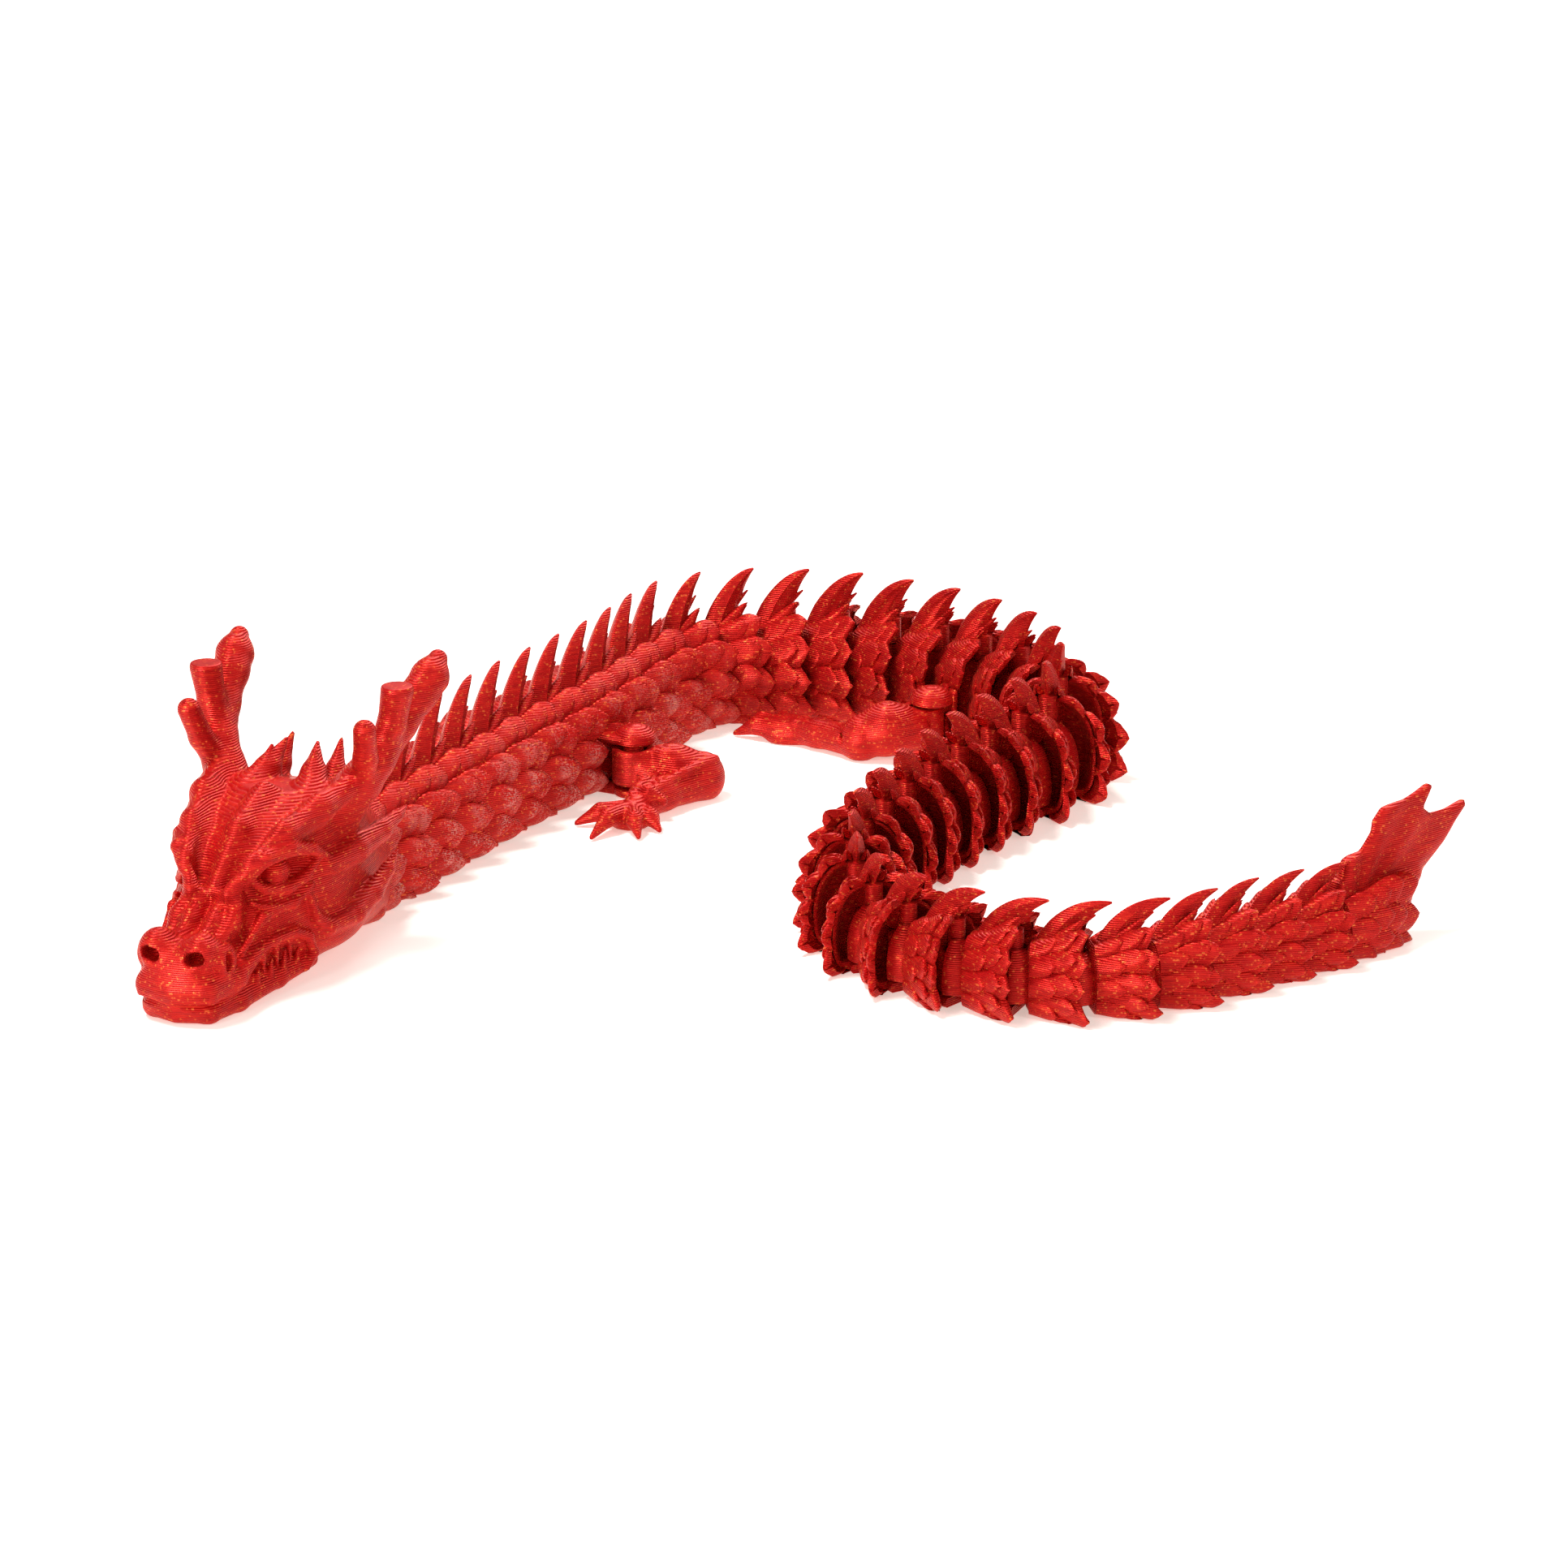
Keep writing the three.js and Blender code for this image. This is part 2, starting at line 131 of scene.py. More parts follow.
def tip_height_at(n):
    if n < TAIL_TAPER_START:
        return mix(NECK_TIP_HEIGHT, WAIST_TIP_HEIGHT, ease(n / TAIL_TAPER_START))
    taper = (n - TAIL_TAPER_START) / (SEGMENTS - TAIL_TAPER_START)
    return mix(WAIST_TIP_HEIGHT, TAIL_TIP_HEIGHT, taper)


# ------------ where the pieces lie

HINGE = {joint["name"]: np.array(joint["pos_m"]) for joint in frame["joints"]}


def hinge_point(n):
    """The hinge at the front of segment n, in metres. n = SEGMENTS + 1 is the tail tuft's."""
    if n == 1:
        return HINGE["head_hinge"]
    if n == SEGMENTS + 1:
        return HINGE["tail_hinge"]
    return HINGE[f"hinge_{n - 1:02d}_{n:02d}"]


def heading_of(n):
    """The direction at rest from segment n's front hinge to its rear one."""
    along = hinge_point(n + 1) - hinge_point(n)
    return math.atan2(along[1], along[0])


class Place:
    """Takes a piece's millimetres to the frame's metres."""

    def __init__(self, hinge, heading):
        self.hinge = np.array([hinge[0], hinge[1], 0.0])
        turn = math.cos(heading), math.sin(heading)
        self.turn = np.array([[turn[0], -turn[1], 0], [turn[1], turn[0], 0], [0, 0, 1]])

    def metres(self, points):
        return np.asarray(points) @ self.turn.T * MM + self.hinge


# ------------ meshes from loops of points

class Shape:
    """Closed surfaces gathered into one mesh, with how worn each point is."""

    def __init__(self):
        self.points = []
        self.faces = []
        self.wear = []
        self.count = 0

    def add(self, points, faces, wear=None):
        points = np.asarray(points, dtype=float)
        self.points.append(points)
        for group in faces:
            self.faces.append(np.asarray(group) + self.count)
        self.wear.append(np.zeros(len(points)) if wear is None else np.asarray(wear))
        self.count += len(points)

    def add_both_sides(self, points, faces, wear=None):
        self.add(points, faces, wear)
        mirrored = np.asarray(points) * [1, -1, 1]
        self.add(mirrored, [np.asarray(group)[:, ::-1] for group in faces], wear)

    def piece(self, name, place, sharp_angle=55):
        mesh = bpy.data.meshes.new(name)
        points = place.metres(np.concatenate(self.points))
        faces = [face for group in self.faces for face in group.tolist()]
        mesh.from_pydata(points.tolist(), [], faces)
        worn = mesh.attributes.new("wear", "FLOAT", "POINT")
        worn.data.foreach_set("value", np.concatenate(self.wear).astype(np.float32))
        mesh.polygons.foreach_set("use_smooth", np.ones(len(mesh.polygons), dtype=bool))
        mesh.set_sharp_from_angle(angle=math.radians(sharp_angle))
        mesh.update()
        thing = bpy.data.objects.new(name, mesh)
        bpy.context.scene.collection.objects.link(thing)
        return thing


def loft(rings, closed=False):
    """Points and faces of a loft, its rings anticlockwise seen from the far end.

    Its ends are capped, or with closed its last ring is joined to its first.
    """
    rings = np.asarray(rings, dtype=float)
    count, sides = rings.shape[:2]
    rows = count if closed else count - 1
    row, side = np.meshgrid(np.arange(rows), np.arange(sides), indexing="ij")
    near, far = row * sides, (row + 1) % count * sides
    beside = (side + 1) % sides
    quads = np.stack([near + side, near + beside, far + beside, far + side], axis=-1).reshape(-1, 4)
    if closed:
        return rings.reshape(-1, 3), [quads]
    points = np.concatenate([
        rings.reshape(-1, 3),
        rings[0].mean(axis=0, keepdims=True),
        rings[-1].mean(axis=0, keepdims=True),
    ])
    s = np.arange(sides)
    after = (s + 1) % sides
    last = (count - 1) * sides
    front = np.stack([np.full(sides, count * sides), after, s], axis=1)
    back = np.stack([np.full(sides, count * sides + 1), last + s, last + after], axis=1)
    return points, [quads, front, back]


def bezier(points, t):
    """The Bezier curve of the control points at t."""
    points = [np.asarray(p, dtype=float) for p in points]
    t = np.asarray(t)[:, None]
    while len(points) > 1:
        points = [a + (b - a) * t for a, b in zip(points, points[1:])]
    return points[0]


def turned(profile, x=0.0, y=0.0, sides=28, closed=False):
    """A round part on a vertical axis: profile is a list of [radius, z] going up."""
    angle = 2 * np.pi * np.arange(sides) / sides
    rings = [
        np.stack([x + r * np.cos(angle), y + r * np.sin(angle), np.full(sides, z)], axis=1)
        for r, z in profile
    ]
    return loft(rings, closed)


def ring_part(inner, outer, bottom, top, chamfer=0.15):
    """A ring round the hinge, as a closed surface with chamfered corners."""
    profile = [
        [inner + chamfer, bottom],
        [outer - chamfer, bottom],
        [outer, bottom + chamfer],
        [outer, top - chamfer],
        [outer - chamfer, top],
        [inner + chamfer, top],
        [inner, top - chamfer],
        [inner, bottom + chamfer],
    ]
    return turned(profile, closed=True)


def bar(start, end, low_z, high_z, half, corner=0.2):
    """A straight level bar with its long edges bevelled."""
    start, end = np.asarray(start, dtype=float), np.asarray(end, dtype=float)
    along = (end - start) / np.linalg.norm(end - start)
    side = np.array([-along[1], along[0]])
    outline = [
        [-half + corner, low_z], [half - corner, low_z], [half, low_z + corner],
        [half, high_z - corner], [half - corner, high_z], [-half + corner, high_z],
        [-half, high_z - corner], [-half, low_z + corner],
    ]
    rings = []
    for centre in (start, end):
        rings.append([[*(centre + side * across), z] for across, z in outline])
    return loft(rings)


# ------------ the body's flank

FLANK_KNOTS = np.array([[0, 0], [0.3, 0], [0.58, 0.005], [0.85, 0.07], [0.97, 0.21], [1, 0.43],
                        [0.93, 0.65], [0.74, 0.84], [0.42, 0.965], [0, 1]])


LOWER_EDGE_Y = 0.62  # where the underside ends and the flank begins, over half width
UNDERSIDE_TOP = 0.1  # the underside lies below this, over the height


def flank_table():
    """The half outline from the underside's middle over the flank to the spine, by arc length."""
    knots = np.concatenate([[FLANK_KNOTS[1] * [-1, 1]], FLANK_KNOTS, [FLANK_KNOTS[-2] * [-1, 1]]])
    points = []
    for a, b, c, d in zip(knots, knots[1:], knots[2:], knots[3:]):
        for t in np.linspace(0, 1, 24, endpoint=False):
            points.append(0.5 * (2 * b + (c - a) * t + (2 * a - 5 * b + 4 * c - d) * t * t
                                 + (3 * b - a - 3 * c + d) * t ** 3))
    points.append(knots[-2])
    points = np.array(points)
    steps = np.linalg.norm(np.diff(points * [1, HEIGHT_RATIO], axis=0), axis=1)
    length = np.concatenate([[0], np.cumsum(steps)])
    too_high = points[:, 1] > UNDERSIDE_TOP
    edge = length[np.argmin(np.abs(points[:, 0] - LOWER_EDGE_Y) + 9 * too_high)]
    t = (length - edge) / (length[-1] - edge)
    over = t[-1] + (t[-1] - t[::-1][1:])
    beyond = points[::-1][1:] * [-1, 1]
    return np.concatenate([t, over]), np.concatenate([points, beyond])


FLANK_T, FLANK_YZ = flank_table()  # t = 0 at the lower edge, 1 at the spine


def flank(t, half_width, height, out):
    """y and z on the outline at t, pushed out along its normal by out millimetres."""
    def at(place):
        y = np.interp(place, FLANK_T, FLANK_YZ[:, 0]) * half_width
        return y, np.interp(place, FLANK_T, FLANK_YZ[:, 1]) * height

    nudge = 0.004
    y, z = at(t)
    before, after = at(t - nudge), at(t + nudge)
    dy, dz = after[0] - before[0], after[1] - before[1]
    size = np.maximum(np.hypot(dy, dz), 1e-9)
    return y + out * dz / size, np.maximum(z - out * dy / size, 0)


class Cup:
    """The surface that scales grow from: a segment's flared shell, or one with a given profile.

    A profile is [x, ...], [half width, ...], [height, ...].
    """

    def __init__(self, half_width, height, pitch, profile=None):
        self.half_width = half_width
        self.height = height
        self.pitch = pitch
        self.profile = profile
        self.front = SHELL_FRONT_RATIO * half_width
        self.rear = pitch - 0.2

    def size_at(self, x):
        if self.profile:
            stations, half_widths, heights = self.profile
            return np.interp(x, stations, half_widths), np.interp(x, stations, heights)
        t = np.clip((x - self.front) / (self.pitch + RIM_OVERLAP - self.front), -0.3, 1.6)
        flare = t + SHELL_BELLY * t * (1 - t)
        half_width = self.half_width * (SHELL_FRONT_WIDTH + SHELL_WIDTH_GROWTH * flare)
        height = self.height * (SHELL_FRONT_HEIGHT + SHELL_HEIGHT_GROWTH * flare)
        return half_width, height

    def point(self, x, t, out):
        half_width, height = self.size_at(x)
        y, z = flank(t, half_width, height, out)
        return np.stack([x, y, z], axis=-1)

    def outline(self, x, out, bottom=0.0, sides=56):
        t = np.interp(np.linspace(0, 1, sides // 2), [0, 0.16, 1], [FLANK_T[0], 0, 1])
        right = self.point(np.full(sides // 2, float(x)), t, out)
        right[:, 2] = np.maximum(right[:, 2], bottom)
        left = right[1:-1][::-1] * [1, -1, 1]
        return np.concatenate([right, left])

    def shell(self, shape, pin, ring):
        """The segment's solid shell, with its sole and the pin at its rear."""
        back_wall = self.pitch - ring - CLEARANCE
        stations = [  # x, how far out, lowest z
            (self.front, -1.6, 0.8),
            (self.front + 0.05, -0.8, 0.3),
            (self.front + 0.5, -0.1, 0),
            (mix(self.front, self.rear, 0.4), 0, 0),
            (mix(self.front, self.rear, 0.7), 0, 0),
            (self.rear - 0.3, 0, 0),
            (self.rear, -0.1, 0.1),
            (self.rear, -0.35, 0.7),
            (self.rear - 0.2, -0.5, FLOOR_PLATE),
            (mix(back_wall, self.rear, 0.5), -0.7, FLOOR_PLATE),
            (back_wall + 0.3, -0.85, FLOOR_PLATE),
            (back_wall, -1.6, FLOOR_PLATE + 0.2),
        ]
        shape.add(*loft([self.outline(x, out, bottom) for x, out, bottom in stations]))
        sole = self.half_width * 0.5
        shape.add(*bar([self.rear - 1, 0], [self.pitch + RIM_OVERLAP, 0], 0, FLOOR_PLATE * 0.9, sole))
        roof = self.height - ROOF
        shape.add(*turned([[pin, FLOOR_PLATE / 2], [pin, roof + ROOF / 3]], x=self.pitch))


def scale(cup, root, tip, centre, half, lift, thick, worn, blunt=3.0, bulge=0.75):
    """One scale on a cup's flank: root to tip in x, and half to each side of centre in t.

    lift raises its tip and thick is its thickness. worn is how pale its middle may be. A lower
    blunt makes its tip sharper, and bulge is how far its middle line stands out.
    """
    u = np.linspace(0, 1, SCALE_MESH_ROWS) ** 0.85
    v = np.linspace(-1, 1, SCALE_MESH_COLUMNS)
    taper = np.clip((u - 0.30) / 0.70, 0, 1)
    width = half * np.maximum(1 - taper ** blunt, 0.0) ** 0.55
    width = np.maximum(width, half * 0.08)
    grid_u, grid_v = np.meshgrid(u, v, indexing="ij")
    grid_w = np.repeat(width[:, None], SCALE_MESH_COLUMNS, axis=1)
    edge = np.maximum(np.abs(grid_v) ** 4, ease((grid_u - 0.62) / 0.38) ** 2)
    dome = bulge * (1 - grid_v ** 2) * (0.35 + 0.65 * grid_u)
    rim = 0.12 * np.exp(-((edge - 0.55) / 0.22) ** 2) * ease(grid_u * 2)
    top = lift * grid_u ** 1.35 + dome + rim - 0.30 * edge ** 2 - 0.15
    under = top - thick * (1 - 0.6 * edge)
    bow = 0.16 * (1 - grid_v ** 2) * (tip - root) * grid_u ** 3
    x = mix(root, tip, grid_u) - 0.16 * (tip - root) * grid_u ** 3 + bow
    t = centre + grid_v * grid_w
    outer = cup.point(x, t, top)
    inner = cup.point(x, t, under)
    rings = np.concatenate([outer, inner[:, ::-1]], axis=1)
    patch = ease((grid_u - 0.45) / 0.2) * ease((0.97 - grid_u) / 0.2)
    patch = patch * ease((0.85 - np.abs(grid_v)) / 0.4)
    wear = np.concatenate([patch * worn, patch * 0], axis=1).ravel()
    points, faces = loft(rings)
    return points, faces, np.concatenate([wear, [0, 0]])


def horn(centres, chords, thicks, ribs=(), sides=20):
    """A blade along a curve in the middle plane: chord in the plane, thickness across it."""
    centres = np.asarray(centres, dtype=float)
    along = np.gradient(centres, axis=0)
    along /= np.linalg.norm(along, axis=1, keepdims=True)
    angle = 2 * np.pi * np.arange(sides) / sides
    rings = []
    for centre, axis, chord, thick in zip(centres, along, chords, thicks):
        chord_axis = np.array([axis[2], 0, -axis[0]])
        side_axis = np.cross(axis, chord_axis)
        s = np.cos(angle)
        bulge = np.ones(sides)
        for place, height in ribs:
            bulge += height * np.exp(-((s - place) / 0.13) ** 2)
        out = np.sin(angle) * np.abs(np.sin(angle)) ** 0.4 * bulge * (1 - 0.25 * s)
        rings.append(centre + np.outer(s * chord, chord_axis) + np.outer(out * thick, side_axis))
    return loft(rings)


# ------------ body segments

def spike(shape, cup, tip_height):
    """The back spike, its side ribs and the small ones behind it."""
    height = cup.height
    pitch = cup.pitch
    rise = tip_height - height
    slim = cup.half_width / BODY_HALF_WIDTH
    lean = SPIKE_LEAN + 3 * (1 - slim)
    t = np.linspace(0, 1, 15)
    curve = bezier([
        [cup.front + 1.9, 0, height * 0.62],
        [pitch - 1.2, 0, height + rise * 0.12],
        [pitch + 0.8, 0, height + rise * 0.78],
        [pitch + lean, 0, tip_height],
    ], t)
    chord = np.interp(t, [0, 0.3, 0.6, 0.85, 1], [2.0, 1.75, 1.15, 0.55, 0.14])
    thick = np.interp(t, [0, 0.3, 0.6, 0.85, 1], [1.2, 0.85, 0.56, 0.36, 0.12])
    ribs = [(-0.35, 0.35), (0.4, 0.5)]
    shape.add(*horn(curve, chord * mix(1, slim, 0.5), thick * slim, ribs=ribs))
    small = bezier([
        [pitch - 1.2, 0, height * 0.9],
        [pitch + 0.3, 0, height * 0.99],
        [pitch + 1.9, 0, height + rise * 0.28 + 0.2],
    ], np.linspace(0, 1, 8))
    shape.add(*horn(small, np.linspace(0.9, 0.1, 8), np.linspace(0.65, 0.12, 8), sides=12))


def side_spikelet(shape, cup, t, reach):
    """A narrow pointed scale beside the spine."""
    shape.add_both_sides(*scale(cup, cup.pitch - 2.6, cup.pitch + reach, t, 0.06, 0.9, 0.7, 0, blunt=1.2))


def scale_rows(shape, cup, worn, beside_leg):
    """Three staggered rows of scales on each flank, with more relief towards the tail."""
    stretch = cup.pitch / PITCH
    slim = cup.half_width / BODY_HALF_WIDTH
    tail = ease((1 - slim) / 0.12)
    rows = [  # root, tip, centre of the first scale, number of scales, lift, half width
        (1.6, 4.5, 0.15, 4, 0.35, 0.118),
        (2.8, 6.7, 0.03, 5, 1.05, 0.114),
        (RIM_ROOT, 8.1, 0.165, 4, 1.15, 0.134),
    ]
    for root, tip, first, number, lift, half in rows:
        spacing = (0.95 - first) / (number - 0.25)
        for i in range(number):
            jitter = RNG.uniform(-1, 1, 4)
            centre = first + spacing * i
            lowest = i == 0 and root == RIM_ROOT
            flatter = mix(1, 0.25, ease((centre - 0.45) / 0.4))
            if beside_leg and centre < 0.4:
                flatter = 0.45
            flatter = mix(flatter, 0.9, tail)
            bulge = mix(0.55, 0.8, tail) if root < RIM_ROOT - 2 else 0.85
            reach = tip + (0.5 if lowest else 0) + 0.15 * jitter[0]
            shape.add_both_sides(*scale(
                cup,
                root * stretch,
                (min(reach, PITCH) + max(reach - PITCH, 0) * slim) * stretch,
                centre + 0.012 * jitter[1],
                half * (1.15 if lowest else 1) * (1 + 0.07 * jitter[2]),
                lift * flatter * (1 + 0.2 * jitter[3]) * mix(1, slim, 0.5),
                0.45,
                worn * max(0.0, 0.9 - 1.0 * centre) * (0.7 + 0.3 * jitter[0]),
                blunt=1.5 if lowest else 3.0,
                bulge=bulge * mix(1, flatter, 0.6),
            ))
    side_spikelet(shape, cup, 0.93, 1.3 * slim)


def joint_radii(n):
    """The radii of the pin at the rear of piece n, and of the bore and ring that turn on it."""
    pin = PIN_RATIO * half_width_at(n)
    bore = pin + CLEARANCE
    return pin, bore, bore + RING_WALL_RATIO * half_width_at(n)


def front_ring(shape, n):
    """The ring on a neck at the front of piece n, round the pin of the piece ahead."""
    _, bore, ring = joint_radii(n - 1)
    bottom = FLOOR_PLATE + CLEARANCE
    roof = HEIGHT_RATIO * half_width_at(n - 1) - ROOF
    top = mix(FLOOR_PLATE, roof, RING_RISE) - CLEARANCE
    shape.add(*ring_part(bore, ring, bottom, top))
    neck_end = SHELL_FRONT_RATIO * half_width_at(n) + 1.0
    shape.add(*bar([bore + 0.15, 0], [neck_end, 0], bottom, top, ring * 0.78))


def throat(shape, n):
    """The rounded front of segment n, turned about its hinge, that fills the cup ahead."""
    _, bore, _ = joint_radii(n - 1)
    half_width = min(half_width_at(n), half_width_at(n - 1))
    t = np.linspace(0.02, 1, 16)
    radius, z = flank(t, THROAT_WIDTH * half_width, THROAT_HEIGHT * HEIGHT_RATIO * half_width, 0)
    radius = np.maximum(radius, bore)
    z = np.maximum(z, FLOOR_PLATE + CLEARANCE)
    radius = np.concatenate([[bore], radius])
    z = np.concatenate([z[:1], z])
    rings = []
    for angle in np.radians(np.linspace(THROAT_SWEEP, -THROAT_SWEEP, 33)):
        rings.append(np.stack([radius * math.cos(angle), radius * math.sin(angle), z], axis=1))
    shape.add(*loft(rings))


def leg_post(shape):
    """The plates and pin on a segment's flank that a leg's ring turns on."""
    top = LEG_RING_TOP + CLEARANCE
    x, y = LEG_HINGE_X, LEG_HINGE_Y
    inside_flank = 3.4
    half_bar = 1.4
    for low, high in ((0, LEG_PLATE), (top + 0.05, top + LEG_PLATE)):
        shape.add_both_sides(*bar([x, inside_flank], [x, y], low, high, half_bar))
    foot = [[2.0, 0.04], [2.2, 0.2], [2.2, 0.8], [2.05, 0.95]]
    pin = [[LEG_PIN_RADIUS, LEG_PLATE / 2], [LEG_PIN_RADIUS, top + LEG_PLATE / 2]]
    for profile in (foot, pin):
        shape.add_both_sides(*turned(profile, x=x, y=y))
    dome = [[LEG_CAP - 0.3, top], [LEG_CAP, top + 0.2]]
    for angle in np.linspace(0, 1.45, 9):
        rise = top + 0.35 + LEG_DOME_RISE * math.sin(angle)
        dome.append([LEG_CAP * math.cos(angle), rise])
    shape.add_both_sides(*turned(dome, x=x + 0.9, y=y - 0.3))


def segment(n):
    pitch = 1000 * np.linalg.norm(hinge_point(n + 1) - hinge_point(n))
    half_width = half_width_at(n)
    cup = Cup(half_width, HEIGHT_RATIO * half_width, pitch)
    shape = Shape()
    pin, _, ring = joint_radii(n)
    cup.shell(shape, pin, ring)
    worn = ease((14 - n) / 6)
    beside_leg = any(0 < leg - n <= LEG_REACH for leg in (SHOULDER_SEGMENT, HIP_SEGMENT))
    scale_rows(shape, cup, worn, beside_leg)
    spike(shape, cup, tip_height_at(n))
    front_ring(shape, n)
    throat(shape, n)
    if n in (SHOULDER_SEGMENT, HIP_SEGMENT):
        leg_post(shape)
    return shape.piece(f"scaled_segment_{n:02d}", Place(hinge_point(n), heading_of(n)))


# ------------ sculpting on a grid

class Clay:
    """A solid held as distances on a grid, added to and carved, then turned into a mesh."""

    def __init__(self, low, high, step):
        self.low = np.asarray(low, dtype=float)
        self.step = step
        counts = np.ceil((np.asarray(high) - self.low) / step).astype(int) + 1
        self.axes = [self.low[i] + step * np.arange(counts[i]) for i in range(3)]
        self.field = np.full(counts, 9.0, dtype=np.float32)

    def window(self, low, high):
        """The part of the grid between two corners, with its coordinates."""
        slices = []
        for axis, a, b in zip(self.axes, low, high):
            first = max(np.searchsorted(axis, a) - 1, 0)
            last = min(np.searchsorted(axis, b) + 1, len(axis))
            slices.append(slice(first, max(last, first)))
        x, y, z = (axis[s] for axis, s in zip(self.axes, slices))
        return tuple(slices), x[:, None, None], y[None, :, None], z[None, None, :]

    def merge(self, window, distance, blend, carve):
        """Adds or carves a solid, rounding the join over blend."""
        sign = -1 if carve else 1
        field = sign * self.field[window]
        gap = np.maximum(blend - np.abs(field - distance), 0) / max(blend, 1e-6)
        self.field[window] = sign * (np.minimum(field, distance) - gap * gap * blend / 4)

    def chain(self, stations, blend=0.5, carve=False):
        """Round cones through [x, y, z, radius] stations."""
        for a, b in zip(stations, stations[1:]):
            a, b = np.asarray(a, dtype=float), np.asarray(b, dtype=float)
            reach = max(a[3], b[3]) + blend + self.step * 2
            window, x, y, z = self.window(np.minimum(a, b)[:3] - reach, np.maximum(a, b)[:3] + reach)
            line = (b - a)[:3]
            px, py, pz = x - a[0], y - a[1], z - a[2]
            t = np.clip((px * line[0] + py * line[1] + pz * line[2]) / (line @ line), 0, 1)
            dx, dy, dz = px - t * line[0], py - t * line[1], pz - t * line[2]
            away = np.sqrt(dx ** 2 + dy ** 2 + dz ** 2)
            self.merge(window, away - mix(a[3], b[3], t), blend, carve)

    def blob(self, centre, radii, blend=0.6, carve=False, yaw=0.0, pitch=0.0):
        """An ellipsoid, turned by yaw about z and pitch about y, in degrees."""
        radii = np.asarray(radii, dtype=float)
        reach = radii.max() + blend + self.step * 2
        window, x, y, z = self.window(np.asarray(centre) - reach, np.asarray(centre) + reach)
        px, py, pz = x - centre[0], y - centre[1], z - centre[2]
        c, s = math.cos(math.radians(yaw)), math.sin(math.radians(yaw))
        px, py = c * px + s * py, c * py - s * px
        c, s = math.cos(math.radians(pitch)), math.sin(math.radians(pitch))
        px, pz = c * px - s * pz, c * pz + s * px
        k0 = np.sqrt((px / radii[0]) ** 2 + (py / radii[1]) ** 2 + (pz / radii[2]) ** 2)
        k1 = np.sqrt((px / radii[0] ** 2) ** 2 + (py / radii[1] ** 2) ** 2 + (pz / radii[2] ** 2) ** 2)
        self.merge(window, k0 * (k0 - 1) / np.maximum(k1, 1e-6), blend, carve)

    def drum(self, x0, y0, radius, bottom, top, blend=0.1, carve=False):
        """A round post on a vertical axis."""
        reach = radius + blend + self.step * 2
        low = [x0 - reach, y0 - reach, bottom - 1]
        high = [x0 + reach, y0 + reach, top + 1]
        window, x, y, z = self.window(low, high)
        side = np.sqrt((x - x0) ** 2 + (y - y0) ** 2) - radius
        ends = np.abs(z - (bottom + top) / 2) - (top - bottom) / 2
        self.merge(window, np.maximum(side, ends), blend, carve)

    def box(self, low, high, blend=0.1, carve=False):
        low, high = np.asarray(low, dtype=float), np.asarray(high, dtype=float)
        window, x, y, z = self.window(low - 1, high + 1)
        middle, half = (low + high) / 2, (high - low) / 2
        distance = np.maximum(np.abs(x - middle[0]) - half[0], np.abs(y - middle[1]) - half[1])
        self.merge(window, np.maximum(distance, np.abs(z - middle[2]) - half[2]), blend, carve)

    def cut_below(self):
        self.field = np.maximum(self.field, (0.0 - self.axes[2])[None, None, :]).astype(np.float32)

    def mirror(self):
        """Makes the y < 0 half from the y > 0 half. The grid starts at y = 0."""
        self.field = np.concatenate([self.field[:, :0:-1], self.field], axis=1)
        self.low[1] = -self.axes[1][-1]

    def mesh(self):
        """The surface where the distance is nought, by surface nets."""
        field = np.pad(self.field, 1, constant_values=5.0)
        low = self.low - self.step
        inside = field < 0
        cells = tuple(n - 1 for n in field.shape)
        corners = [(i, j, k) for i in (0, 1) for j in (0, 1) for k in (0, 1)]
        total = np.zeros(cells, dtype=np.int8)
        for i, j, k in corners:
            total += inside[i:i + cells[0], j:j + cells[1], k:k + cells[2]]
        mixed = (total > 0) & (total < 8)
        number = np.full(cells, -1, dtype=np.int64)
        number[mixed] = np.arange(mixed.sum())
        at = np.stack(np.nonzero(mixed), axis=1)
        summed = np.zeros((len(at), 3))
        hits = np.zeros(len(at))
        for corner in corners:
            for axis in range(3):
                if corner[axis]:
                    continue
                other = list(corner)
                other[axis] = 1
                a = field[tuple((at + corner).T)]
                b = field[tuple((at + other).T)]
                crossed = (a < 0) != (b < 0)
                share = np.where(crossed, a / np.where(crossed, a - b, 1), 0)
                place = np.repeat(np.array([corner], dtype=float), len(at), axis=0)
                place[:, axis] += share
                summed += place * crossed[:, None]
                hits += crossed
        points = low + self.step * (at + summed / hits[:, None])
        quads = []
        for axis in range(3):
            ahead = [slice(None)] * 3
            behind = [slice(None)] * 3
            ahead[axis] = slice(1, None)
            behind[axis] = slice(None, -1)
            leaves = inside[tuple(behind)] & ~inside[tuple(ahead)]
            enters = ~inside[tuple(behind)] & inside[tuple(ahead)]
            b, c = (axis + 1) % 3, (axis + 2) % 3
            for change, order in ((leaves, 1), (enters, -1)):
                where = np.stack(np.nonzero(change), axis=1)
                around = []
                for back_b, back_c in ((1, 1), (0, 1), (0, 0), (1, 0)):
                    cell = where.copy()
                    cell[:, b] -= back_b
                    cell[:, c] -= back_c
                    around.append(number[tuple(cell.T)])
                quads.append(np.stack(around[::order], axis=1))
        return points, [np.concatenate(quads)]


# ------------ head

